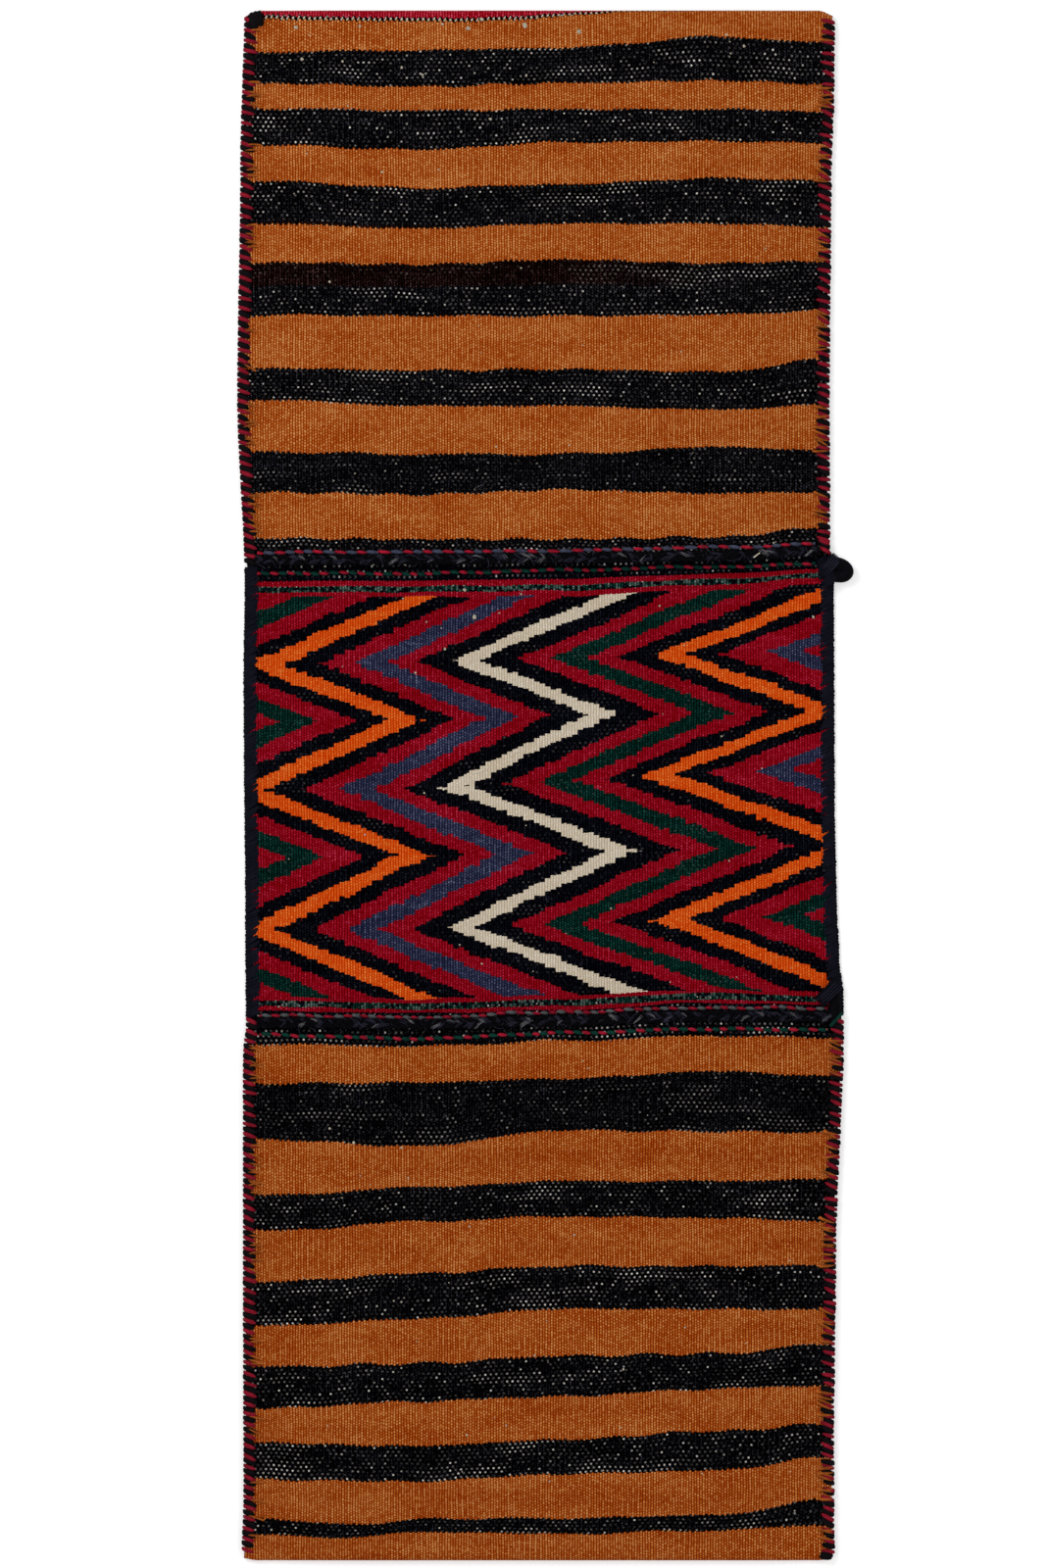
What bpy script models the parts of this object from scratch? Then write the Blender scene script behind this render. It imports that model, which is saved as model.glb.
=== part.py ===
"""Kilim double saddle bag, lying flat with its two pocket mouths upwards.

One long woven strip is folded over at both ends. The overcast seams close the sides of the pockets, the
bridge between the pockets is a single layer, and each mouth has a goat-hair braid, twined rows and a loop.
Units are metres, +Z is up, +Y runs from the lower pocket to the upper one, +X is to the right.
The origin is on the underside, at the middle of the bag's length and of its nominal width.
"""
import math

import bmesh
import bpy

# Driving dimensions of the cloth
BAG_WIDTH = 0.480
UPPER_POCKET_DEPTH = 0.4505
LOWER_POCKET_DEPTH = 0.4410
BRIDGE_LENGTH = 0.3685
CLOTH_THICKNESS = 0.0022
STRIPE_RELIEF = 0.0004
STRIPE_EDGE = 0.0008
WEFT_TILT = 0.022

# How far the pockets stand open
FOLD_FULLNESS = 0.0030
POCKET_FULLNESS = 0.0085
LIP_FULLNESS = 0.0070
FULLNESS_RUN = 0.080
CROWN_REACH = 0.060
CROWN_FOOT = 0.22
CROWN_SHOULDER_PLACE = 0.45
CROWN_SHOULDER = 0.62

# Yarns, seams and the gap that keeps neighbouring pieces apart
FIT = 0.0003
YARN = 0.0010
STITCH_LENGTH = 0.0100
STITCH_PITCH = 0.0084
STITCH_SLANT = 0.0030
STITCH_VALLEY = 0.60
SELVEDGE_LENGTH = 0.0090
SELVEDGE_PITCH = 0.0310
PINCHED_MARGIN = 0.0120
MARGIN_RAMP = 0.0100
EDGE_SETBACK = 0.0012
CORNER_PULL = 0.0045
LASHING_LENGTH = 0.0080
SEAM_BREAK = 0.0006

# Mouths: braid, twined rows and the rise of the upper mouth towards the right-hand side
BRAID_WIDTH = 0.0090
BRAID_HEIGHT = 0.0038
BRAID_PITCH = 0.0160
BRAID_OVERHANG = 0.0010
ROW_WIDTH = 0.0034
ROW_HEIGHT = 0.0017
ROW_BESIDE_BRAID = 0.0007
ROW_FROM_LIP = 0.0060
LIP_ROW_PITCH = 0.0172
LOWER_LIP_ROW_PITCH = 0.0140
BRIDGE_ROW_PITCH = 0.0140
LOWER_BRIDGE_ROW_PITCH = 0.0172
MOUTH_RISE = 0.0090
MOUTH_RISE_REACH = 0.065
MOUTH_RISE_DEPTH = 0.050
MOUTH_RISE_FULL = 0.020
YARN_VALLEY = 0.62

# Closing loops of goat-hair cord
LOOP_CORD = 0.0052
LOOP_STANDOUT = 0.0165
LOOP_SPREAD = 0.0085
LOOP_ON_CLOTH = 0.0110

# Zigzag of the bridge
ZIGZAG_RELIEF = 0.00035
ZIGZAG_REPEAT = 0.153
ZIGZAG_LINE = 0.026
ZIGZAG_ACCENT = 0.030
ZIGZAG_SWING = 0.119
ZIGZAG_CENTRE = -0.0020
ZIGZAG_FROM_UPPER_LIP = 0.023
ZIGZAG_FROM_LOWER_LIP = 0.017
ZIGZAG_TURNS = (0.0, 0.186, 0.31, 0.479, 0.642, 0.826, 1.0)

# Stripe widths from each fold to its mouth, orange first, and then black and orange in turn
UPPER_STRIPES = (0.032, 0.029, 0.0205, 0.029, 0.031, 0.034, 0.030, 0.043, 0.044, 0.029, 0.040, 0.031, 0.038)
LOWER_STRIPES = (
    0.0225, 0.0125, 0.0335, 0.0295, 0.036, 0.031, 0.038, 0.034, 0.0405, 0.0295, 0.038, 0.044, 0.032,
)

# How far each long edge sways outwards, at shares of the half length from the lower end to the upper
LEFT_SWAY = (
    (-1.0, 0.0), (-0.6, -0.001), (-0.35, -0.002), (-0.2, -0.0035),
    (0.15, -0.002), (0.5, 0.003), (1.0, -0.001),
)
RIGHT_SWAY = (
    (-1.0, -0.001), (-0.62, 0.001), (-0.3, 0.008), (-0.02, 0.001),
    (0.3, -0.002), (0.7, -0.002), (1.0, -0.001),
)

BACK_ROW_SPACING = 0.050
FOLD_STEPS = 5
BAG_LENGTH = UPPER_POCKET_DEPTH + BRIDGE_LENGTH + LOWER_POCKET_DEPTH
UPPER_LIP = BAG_LENGTH / 2 - UPPER_POCKET_DEPTH
LOWER_LIP = LOWER_POCKET_DEPTH - BAG_LENGTH / 2
LEFT = -1
RIGHT = 1


def blend(low, high, value):
    """0 below low, 1 above high, and a smooth step between."""
    share = min(max((value - low) / (high - low), 0.0), 1.0)
    return share * share * (3 - 2 * share)


def through(knots, value):
    """Straight runs through (place, height) knots, level beyond both ends."""
    if value <= knots[0][0]:
        return knots[0][1]
    for (start, low), (end, high) in zip(knots, knots[1:]):
        if value <= end:
            return low + (high - low) * (value - start) / (end - start)
    return knots[-1][1]


def sway(side, y):
    """Outward shift of a long edge, eased between its knots."""
    knots = LEFT_SWAY if side == LEFT else RIGHT_SWAY
    place = max(min(2 * y / BAG_LENGTH, 1.0), -1.0)
    for (start, low), (end, high) in zip(knots, knots[1:]):
        if place <= end:
            return low + (high - low) * blend(start, end, place)
    return knots[-1][1]


def bag_edge(side, y):
    """X of the bag's outer edge, over the overcasting."""
    return side * (BAG_WIDTH / 2 + sway(side, y))


def from_bag_edge(x, y):
    """Distance inwards from the nearer outer edge."""
    return min(x - bag_edge(LEFT, y), bag_edge(RIGHT, y) - x)


CLOTH_INSET = YARN + FIT + EDGE_SETBACK
CROWN_KNOTS = (
    (PINCHED_MARGIN, 0.0),
    (PINCHED_MARGIN + MARGIN_RAMP, CROWN_FOOT),
    (PINCHED_MARGIN + CROWN_SHOULDER_PLACE * CROWN_REACH, CROWN_SHOULDER),
    (PINCHED_MARGIN + CROWN_REACH, 1.0),
)
LIFT_KNOTS = ((PINCHED_MARGIN, YARN + FIT), (PINCHED_MARGIN + MARGIN_RAMP, 0.0))


def fullness(depth, pocket_depth):
    """Room between the two layers, at a distance from the fold."""
    rise = blend(0, FULLNESS_RUN, depth)
    fall = blend(pocket_depth - FULLNESS_RUN, pocket_depth, depth)
    swell = (POCKET_FULLNESS - FOLD_FULLNESS) * rise
    return FOLD_FULLNESS + swell - (POCKET_FULLNESS - LIP_FULLNESS) * fall


def back_top(inset):
    """Height of the upper side of the back layer and of the bridge."""
    return through(LIFT_KNOTS, inset) + CLOTH_THICKNESS


def face_inner(inset, depth, pocket_depth):
    """Height of the inside of a pocket's face."""
    return back_top(inset) + FIT + fullness(depth, pocket_depth) * through(CROWN_KNOTS, inset)


def mouth_rise(x):
    """The upper mouth runs up towards the bag's right-hand edge."""
    return MOUTH_RISE * blend(BAG_WIDTH / 2 - MOUTH_RISE_REACH, BAG_WIDTH / 2, x)


def column_insets():
    """Distances from the nearer bag edge at which the cloth has a column of points."""
    return [CLOTH_INSET, PINCHED_MARGIN] + [place for place, _ in CROWN_KNOTS[1:]]


def column_x(column, y):
    """X of a column, counted from the left-hand edge."""
    insets = column_insets()
    if column < len(insets):
        return bag_edge(LEFT, y) + insets[column]
    if column == len(insets):
        return (bag_edge(LEFT, y) + bag_edge(RIGHT, y)) / 2
    return bag_edge(RIGHT, y) - insets[2 * len(insets) - column]


def column_inset(column, y):
    return from_bag_edge(column_x(column, y), y)


def stripe_rows(stripes, pocket_depth):
    """(Distance from the fold, tone) of each row on a face; tone 1 is orange and 0 is black."""
    rows = [(0.0, 1)]
    depth = 0.0
    tone = 1
    for width in stripes:
        depth += width
        if depth > pocket_depth - 2 * STRIPE_EDGE - ROW_WIDTH:
            break
        rows.append((depth - STRIPE_EDGE, tone))
        tone = 1 - tone
        rows.append((depth + STRIPE_EDGE, tone))
    rows.append((pocket_depth, tone))
    return rows


def face_point(end, depth, pocket_depth, column):
    """A point on the inside of a face; end is 1 for the upper pocket and -1 for the lower."""
    y = end * (BAG_LENGTH / 2 - depth)
    x = column_x(column, y)
    inset = column_inset(column, y)
    height = face_inner(inset, depth, pocket_depth)
    middle = math.sin(math.pi * depth / pocket_depth)
    near_lip = blend(pocket_depth - MOUTH_RISE_DEPTH, pocket_depth - MOUTH_RISE_FULL, depth)
    drift = mouth_rise(x) * near_lip if end > 0 else WEFT_TILT * x * middle
    if depth == 0.0:
        y = end * fold_axis(inset)
    return x, y + drift, height


def fold_axis(inset):
    """Distance from the bag's middle to the axis of an end fold."""
    pull = CORNER_PULL * (1 - blend(0, PINCHED_MARGIN, inset))
    radius = (FIT + FOLD_FULLNESS * through(CROWN_KNOTS, inset)) / 2
    return BAG_LENGTH / 2 - CLOTH_THICKNESS - radius - pull


def fold_point(end, step, column):
    """A point on the inside of an end fold; step 0 is on the face and FOLD_STEPS on the back."""
    y = end * BAG_LENGTH / 2
    inset = column_inset(column, y)
    radius = (FIT + FOLD_FULLNESS * through(CROWN_KNOTS, inset)) / 2
    angle = math.pi * step / FOLD_STEPS
    out = radius * math.sin(angle)
    up = radius * math.cos(angle)
    return column_x(column, y), end * (fold_axis(inset) + out), back_top(inset) + radius + up


def back_point(y, column):
    """A point on the upper side of the back layer."""
    return column_x(column, y), y, back_top(column_inset(column, y))


def cloth_rows():
    """Every row of the strip in order, as (function of the column, tone)."""
    upper = stripe_rows(UPPER_STRIPES, UPPER_POCKET_DEPTH)
    lower = stripe_rows(LOWER_STRIPES, LOWER_POCKET_DEPTH)
    rows = []
    for depth, tone in reversed(upper):
        rows.append((lambda c, d=depth: face_point(1, d, UPPER_POCKET_DEPTH, c), tone))
    for step in range(1, FOLD_STEPS + 1):
        rows.append((lambda c, s=step: fold_point(1, s, c), 1))
    spans = round(BAG_LENGTH / BACK_ROW_SPACING)
    for index in range(1, spans):
        y = BAG_LENGTH * (0.5 - index / spans)
        rows.append((lambda c, y=y: back_point(y, c), 1))
    for step in range(FOLD_STEPS, 0, -1):
        rows.append((lambda c, s=step: fold_point(-1, s, c), 1))
    for depth, tone in lower:
        rows.append((lambda c, d=depth: face_point(-1, d, LOWER_POCKET_DEPTH, c), tone))
    return rows


def wool(name, color, roughness=0.9):
    """A matt wool material."""
    material = bpy.data.materials.new(name)
    material.use_nodes = True
    shader = material.node_tree.nodes["Principled BSDF"]
    shader.inputs["Base Color"].default_value = (*color, 1)
    shader.inputs["Roughness"].default_value = roughness
    shader.inputs["Metallic"].default_value = 0.0
    return material


def add_object(collection, name, data, *materials):
    thing = bpy.data.objects.new(name, data)
    for material in materials:
        data.materials.append(material)
    collection.objects.link(thing)
    return thing


def sheet_mesh(name, columns, rows):
    """A flat grid of points, in row-major order from one long side to the other."""
    mesh = bpy.data.meshes.new(name)
    grid = bmesh.new()
    bmesh.ops.create_grid(grid, x_segments=columns - 1, y_segments=rows - 1, size=1)
    grid.verts.sort(key=lambda vert: vert.co.x - 10000 * vert.co.y)
    grid.verts.index_update()
    grid.to_mesh(mesh)
    grid.free()
    return mesh


def flip_mesh(mesh):
    work = bmesh.new()
    work.from_mesh(mesh)
    bmesh.ops.reverse_faces(work, faces=work.faces)
    work.to_mesh(mesh)
    work.free()


def solidify(thing, thickness, group, least):
    """Wall along the surface normals, thinner where the group's weight is below 1."""
    wall = thing.modifiers.new("wall", "SOLIDIFY")
    wall.thickness = thickness
    wall.offset = 1.0
    wall.use_even_offset = True
    wall.vertex_group = group.name
    wall.thickness_vertex_group = least


def make_strip(collection, cutters, orange, black, ground):
    """The woven strip: both faces, both folds, the back and the bridge in one piece."""
    rows = cloth_rows()
    columns = 2 * len(column_insets()) + 1
    mesh = sheet_mesh("kilim_strip", columns, len(rows))
    for row, (place, _) in enumerate(rows):
        for column in range(columns):
            mesh.vertices[row * columns + column].co = place(column)
    flip_mesh(mesh)
    strip = add_object(collection, "kilim_strip", mesh, orange, black, ground)
    for face in mesh.polygons:
        tones = [rows[index // columns][1] for index in face.vertices]
        face.material_index = 0 if min(tones) else 1
        if abs(face.center.y) < BRIDGE_LENGTH / 2 and face.center.z < CLOTH_THICKNESS + FIT:
            face.material_index = 2
    group = strip.vertex_groups.new(name="weft")
    for row, (_, tone) in enumerate(rows):
        members = range(row * columns, (row + 1) * columns)
        group.add(list(members), float(tone), "REPLACE")
    solidify(strip, CLOTH_THICKNESS, group, 1 - STRIPE_RELIEF / CLOTH_THICKNESS)
    relief = strip.modifiers.new("zigzag", "BOOLEAN")
    relief.operation = "UNION"
    relief.solver = "EXACT"
    relief.object = make_zigzag(cutters)
    return strip


def make_zigzag(cutters):
    """The light lines and their accents: ribbons that stand a little proud of the bridge."""
    top = UPPER_LIP - ZIGZAG_FROM_UPPER_LIP
    bottom = LOWER_LIP + ZIGZAG_FROM_LOWER_LIP
    lines = [(repeat * ZIGZAG_REPEAT, ZIGZAG_LINE) for repeat in (-1, 0, 1)]
    accents = [((repeat + 0.5) * ZIGZAG_REPEAT, ZIGZAG_ACCENT) for repeat in (-2, -1, 0, 1)]
    low = CLOTH_THICKNESS / 2
    high = CLOTH_THICKNESS + ZIGZAG_RELIEF
    joined = bmesh.new()
    for offset, width in lines + accents:
        ribbon = sheet_mesh("ribbon", 2, len(ZIGZAG_TURNS))
        for row, share in enumerate(ZIGZAG_TURNS):
            swing = ZIGZAG_SWING / 2 if row % 2 == 0 else -ZIGZAG_SWING / 2
            y = top + (bottom - top) * share
            for column, half in enumerate((-width / 2, width / 2)):
                x = ZIGZAG_CENTRE + offset + swing + half
                ribbon.vertices[row * 2 + column].co = (x, y, low)
        joined.from_mesh(ribbon)
        bpy.data.meshes.remove(ribbon)
    sheet = bmesh.ops.extrude_face_region(joined, geom=joined.faces[:])
    raised = [item for item in sheet["geom"] if isinstance(item, bmesh.types.BMVert)]
    bmesh.ops.translate(joined, verts=raised, vec=(0, 0, high - low))
    bmesh.ops.recalc_face_normals(joined, faces=joined.faces)
    mesh = bpy.data.meshes.new("zigzag_ribbons")
    joined.to_mesh(mesh)
    joined.free()
    ribbons = add_object(cutters, "zigzag_ribbons", mesh)
    field = bpy.data.meshes.new("zigzag_field")
    box = bmesh.new()
    bmesh.ops.create_cube(box, size=1)
    width = BAG_WIDTH - 2 * PINCHED_MARGIN
    bmesh.ops.scale(box, vec=(width, top - bottom + SEAM_BREAK, 4 * CLOTH_THICKNESS), verts=box.verts)
    bmesh.ops.translate(box, vec=(0, (top + bottom) / 2, 0), verts=box.verts)
    box.to_mesh(field)
    box.free()
    limits = add_object(cutters, "zigzag_field", field)
    trim = ribbons.modifiers.new("field", "BOOLEAN")
    trim.operation = "INTERSECT"
    trim.solver = "EXACT"
    trim.object = limits
    for guide in (ribbons, limits):
        guide.hide_render = True
        guide.display_type = "WIRE"
    return ribbons


def make_overcast(collection, name, side, start, end, layers, reach, pitch, material):
    """Overcasting round one edge: a channel with a slanted ridge for each pair of stitches."""
    low = YARN
    high = YARN + FIT + layers * (CLOTH_THICKNESS + FIT)
    profile = ((reach, high), (YARN, high), (YARN, low), (reach, low))
    pairs = max(round((start - end) / pitch), 1)
    stations = 2 * pairs + 1
    mesh = sheet_mesh(name, len(profile), stations)
    slant = STITCH_SLANT if layers == 2 else 0.0
    for row in range(stations):
        y = start + (end - start) * row / (stations - 1)
        for column, (inset, height) in enumerate(profile):
            lean = side * slant * (inset / reach - 0.5) if 0 < row < stations - 1 else 0.0
            x = bag_edge(side, y + lean) - side * inset
            mesh.vertices[row * len(profile) + column].co = (x, y + lean, height)
    if side == LEFT:
        flip_mesh(mesh)
    channel = add_object(collection, name, mesh, material)
    group = channel.vertex_groups.new(name="stitch")
    for row in range(stations):
        members = range(row * len(profile), (row + 1) * len(profile))
        group.add(list(members), float(row % 2), "REPLACE")
    solidify(channel, YARN, group, STITCH_VALLEY)
    return channel


def make_yarn(collection, name, places, width, height, material, roundness):
    """A flattened run of yarn through (point, share of its width) places."""
    flat = height / width
    line = bpy.data.curves.new(name, "CURVE")
    line.dimensions = "3D"
    line.bevel_depth = width / 2
    line.bevel_resolution = roundness
    line.use_fill_caps = True
    line.render_resolution_u = 0
    spline = line.splines.new("POLY")
    spline.points.add(len(places) - 1)
    for point, ((x, y, z), share) in zip(spline.points, places):
        point.co = (x, y, z / flat, 1)
        point.radius = share
    yarn = add_object(collection, name, line, material)
    yarn.scale.z = flat
    return yarn


def across(first, last, pitch):
    """Evenly spaced X values, two to each repeat."""
    steps = 2 * max(round((last - first) / pitch), 1)
    return [first + (last - first) * index / steps for index in range(steps + 1)]


def lip_path(end, from_lip, pitch, height, on_face):
    """Places of a yarn that runs along a mouth; from_lip counts into the pocket."""
    pocket_depth = UPPER_POCKET_DEPTH if end > 0 else LOWER_POCKET_DEPTH
    level = end * (BAG_LENGTH / 2 - pocket_depth)
    reach = PINCHED_MARGIN + FIT
    places = []
    first = bag_edge(LEFT, level) + reach
    last = bag_edge(RIGHT, level) - reach
    for index, x in enumerate(across(first, last, pitch)):
        rise = mouth_rise(x) if end > 0 else 0.0
        y = level + end * from_lip + rise
        inset = from_bag_edge(x, y)
        seat = back_top(inset)
        if on_face:
            depth = pocket_depth - from_lip
            seat = face_inner(inset, depth, pocket_depth) + CLOTH_THICKNESS - STRIPE_RELIEF
        share = 1.0 if index % 2 else YARN_VALLEY
        places.append(((x, y, seat + FIT + height / 2), share))
    return places


def make_mouth(collection, end, word, lip_pitch, bridge_pitch, hair, lip_wool, bridge_wool):
    """One mouth: the braid on its lip, a twined row beside it, and a twined row on the bridge."""
    braid_centre = BRAID_WIDTH / 2 - BRAID_OVERHANG
    row_centre = BRAID_WIDTH - BRAID_OVERHANG + ROW_BESIDE_BRAID + ROW_WIDTH / 2
    braid = lip_path(end, braid_centre, BRAID_PITCH, BRAID_HEIGHT, True)
    make_yarn(collection, "mouth_braid_" + word, braid, BRAID_WIDTH, BRAID_HEIGHT, hair, 1)
    lip_row = lip_path(end, row_centre, lip_pitch, ROW_HEIGHT, True)
    make_yarn(collection, "twining_lip_" + word, lip_row, ROW_WIDTH, ROW_HEIGHT, lip_wool, 0)
    bridge_row = lip_path(end, -ROW_FROM_LIP, bridge_pitch, ROW_HEIGHT, False)
    make_yarn(collection, "twining_bridge_" + word, bridge_row, ROW_WIDTH, ROW_HEIGHT, bridge_wool, 0)


def make_loop(collection, name, level, standout, material):
    """A closing loop: doubled cord that lies on the bridge's selvedge and stands out from its edge."""
    edge = bag_edge(RIGHT, level)
    seat = 2 * YARN + 2 * FIT + CLOTH_THICKNESS + FIT + LOOP_CORD / 2
    route = (
        (-LOOP_ON_CLOTH, -LOOP_SPREAD / 2),
        (-LOOP_CORD, -LOOP_SPREAD / 2),
        (0.45 * standout - LOOP_CORD / 2, -0.55 * LOOP_SPREAD),
        (0.85 * standout - LOOP_CORD / 2, -0.45 * LOOP_SPREAD),
        (standout - LOOP_CORD / 2, 0.0),
        (0.85 * standout - LOOP_CORD / 2, 0.45 * LOOP_SPREAD),
        (0.45 * standout - LOOP_CORD / 2, 0.55 * LOOP_SPREAD),
        (-LOOP_CORD, LOOP_SPREAD / 2),
        (-LOOP_ON_CLOTH, LOOP_SPREAD / 2),
    )
    places = [((edge + out, level + along, seat), 1.0) for out, along in route]
    make_yarn(collection, name, places, LOOP_CORD, LOOP_CORD, material, 2)


def make_seams(collection, wool_material, lashing_material, selvedge_material):
    """The four pocket seams, the two lashed corners and the bridge's two selvedges."""
    end = BAG_LENGTH / 2 - CORNER_PULL - CLOTH_THICKNESS
    for side, hand in ((LEFT, "left"), (RIGHT, "right")):
        outer_rise = mouth_rise(bag_edge(side, UPPER_LIP))
        inner_rise = mouth_rise(bag_edge(side, UPPER_LIP) - side * PINCHED_MARGIN)
        lashed_top = LASHING_LENGTH + SEAM_BREAK if side == LEFT else 0.0
        lashed_bottom = LASHING_LENGTH + SEAM_BREAK if side == RIGHT else 0.0
        upper_stop = UPPER_LIP + outer_rise + SEAM_BREAK / 2
        lower_start = LOWER_LIP - SEAM_BREAK / 2
        args = (2, STITCH_LENGTH, STITCH_PITCH, wool_material)
        make_overcast(collection, "seam_upper_" + hand, side, end - lashed_top, upper_stop, *args)
        make_overcast(collection, "seam_lower_" + hand, side, lower_start, lashed_bottom - end, *args)
        args = (1, SELVEDGE_LENGTH, SELVEDGE_PITCH, selvedge_material)
        top = UPPER_LIP + inner_rise - SEAM_BREAK
        bottom = LOWER_LIP + SEAM_BREAK
        make_overcast(collection, "selvedge_" + hand, side, top, bottom, *args)
    args = (2, STITCH_LENGTH, LASHING_LENGTH, lashing_material)
    make_overcast(collection, "corner_lashing_upper", LEFT, end, end - LASHING_LENGTH, *args)
    make_overcast(collection, "corner_lashing_lower", RIGHT, LASHING_LENGTH - end, -end, *args)


def main():
    for thing in list(bpy.data.objects):
        bpy.data.objects.remove(thing, do_unlink=True)
    scene = bpy.context.scene
    parts = bpy.data.collections.new("kilim_saddle_bag")
    cutters = bpy.data.collections.new("cutters")
    scene.collection.children.link(parts)
    scene.collection.children.link(cutters)
    orange = wool("orange_weft", (0.48, 0.14, 0.015))
    black = wool("black_weft", (0.008, 0.008, 0.012))
    crimson = wool("crimson_weft", (0.35, 0.006, 0.03))
    seam_wool = wool("red_and_black_overcasting", (0.20, 0.008, 0.02))
    navy = wool("navy_overcasting", (0.012, 0.014, 0.032))
    hair = wool("goat_hair", (0.012, 0.013, 0.022), 0.8)
    red_slate = wool("red_and_slate_twining", (0.30, 0.02, 0.05))
    red_green = wool("red_and_green_twining", (0.24, 0.04, 0.05))
    red_grey = wool("red_and_grey_twining", (0.28, 0.06, 0.07))
    make_strip(parts, cutters, orange, black, crimson)
    make_seams(parts, seam_wool, hair, navy)
    make_mouth(parts, 1, "upper", LIP_ROW_PITCH, BRIDGE_ROW_PITCH, hair, red_slate, red_green)
    make_mouth(parts, -1, "lower", LOWER_LIP_ROW_PITCH, LOWER_BRIDGE_ROW_PITCH, hair, red_green, red_grey)
    upper_level = UPPER_LIP - ROW_FROM_LIP
    lower_level = LOWER_LIP + BRAID_OVERHANG + SEAM_BREAK + LOOP_SPREAD / 2 + LOOP_CORD / 2
    make_loop(parts, "closing_loop_upper", upper_level, LOOP_STANDOUT, hair)
    make_loop(parts, "closing_loop_lower", lower_level, LOOP_CORD, hair)


main()
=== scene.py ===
"""Kilim double saddle bag: the looks of every piece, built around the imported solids.

One woven strip is folded over at both ends, so it makes two pockets with a bridge between them. The side
seams are single stitches of red and black wool, the bridge has navy overcasting along both edges, and each
mouth has twined rows, a braid of goat hair and a closing loop. Units are metres, +Z is up, +Y runs from the
lower pocket to the upper one, and the bag lies on the floor at Z = 0.
"""

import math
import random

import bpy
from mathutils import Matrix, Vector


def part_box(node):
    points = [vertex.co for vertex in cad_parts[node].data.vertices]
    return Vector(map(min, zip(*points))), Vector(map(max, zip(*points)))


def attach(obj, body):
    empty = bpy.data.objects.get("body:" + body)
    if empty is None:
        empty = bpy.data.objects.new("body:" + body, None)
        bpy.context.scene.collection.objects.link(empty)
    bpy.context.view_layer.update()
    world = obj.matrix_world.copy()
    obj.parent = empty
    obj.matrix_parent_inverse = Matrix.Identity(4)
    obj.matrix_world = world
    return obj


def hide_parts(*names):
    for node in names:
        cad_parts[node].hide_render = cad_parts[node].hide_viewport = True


bl_info = {
    "name": "Kilim Saddle Bag",
    "version": (1, 0, 0),
    "blender": (4, 5, 0),
    "location": "3D View > Sidebar > Saddle Bag",
    "description": "Builds a flat-woven double saddle bag and a plain studio around it",
    "category": "Object",
}

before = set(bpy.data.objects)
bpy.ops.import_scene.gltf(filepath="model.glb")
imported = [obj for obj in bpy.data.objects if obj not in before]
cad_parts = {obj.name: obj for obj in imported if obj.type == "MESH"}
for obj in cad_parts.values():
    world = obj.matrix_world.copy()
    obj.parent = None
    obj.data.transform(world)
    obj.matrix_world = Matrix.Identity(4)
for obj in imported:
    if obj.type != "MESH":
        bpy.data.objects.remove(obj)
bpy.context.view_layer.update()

MM = 0.001
LEFT = -1
RIGHT = 1
UPPER = 1
LOWER = -1
ENDS = ((UPPER, "upper"), (LOWER, "lower"))
SIDES = ((LEFT, "left"), (RIGHT, "right"))

# The bag, as its solids have it: its pockets, the cloth's thickness, and how full the pockets are
HALF_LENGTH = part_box("kilim_strip")[1].y
HALF_WIDTH = 0.240
UPPER_POCKET = 0.4505
LOWER_POCKET = 0.4410
POCKETS = {UPPER: UPPER_POCKET, LOWER: LOWER_POCKET}
UPPER_LIP = HALF_LENGTH - UPPER_POCKET
LOWER_LIP = LOWER_POCKET - HALF_LENGTH
LIPS = {UPPER: UPPER_LIP, LOWER: LOWER_LIP}
CLOTH = 0.0022
YARN_ROOM = 0.0010
FIT = 0.0003
PINCHED = 0.0120
LIFT_KNOTS = ((PINCHED, YARN_ROOM + FIT), (PINCHED + 0.010, 0.0))
CROWN_KNOTS = ((PINCHED, 0.0), (PINCHED + 0.010, 0.22), (PINCHED + 0.027, 0.62), (PINCHED + 0.060, 1.0))
FOLD_FULLNESS = 0.0030
POCKET_FULLNESS = 0.0085
LIP_FULLNESS = 0.0070
FULLNESS_RUN = 0.080
FOLD_AXIS = 0.0039
FOLD_STEPS = 8

# How far the end folds draw in at their corners, and how far a stitch stands past the edge
UPPER_CORNER_PULL = 0.0045
LOWER_CORNER_PULL = 0.0018
OVERHANG = 0.0010
# How far a seam's stitches go on under a lashed corner, and the last Y and the share of places with a tuft
LASHED_REACH = 0.0088
TUFT_LIMIT = 0.612
TUFT_SHARE = 0.66
# The first two edges of the lower pocket dip towards its fold, at one place on the left
SAGS = (0.0035, 0.0050)
SAG_AT = -0.155
SAG_WIDTH = 0.045
# How far each side edge wanders outwards, in millimetres, from the lower fold at -1 to the upper one at 1
LEFT_SWAY = (
    (-1, -0.5), (-0.92, -2), (-0.6, -1.6), (-0.35, -1.6), (-0.31, -4), (-0.2, -3.5),
    (0.15, -2), (0.25, -3), (0.5, 3), (0.8, 0.5), (1, -2.6),
)
RIGHT_SWAY = (
    (-1, 1), (-0.82, 0.6), (-0.62, 2.2), (-0.3, 8.7), (-0.272, 8.2), (-0.23, 5.1), (-0.15, 2.8),
    (-0.02, 1.2), (0.25, 0.6), (0.32, -2.6), (0.5, -3), (0.78, -1.6), (0.9, 0.8), (1, 1.2),
)

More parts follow.
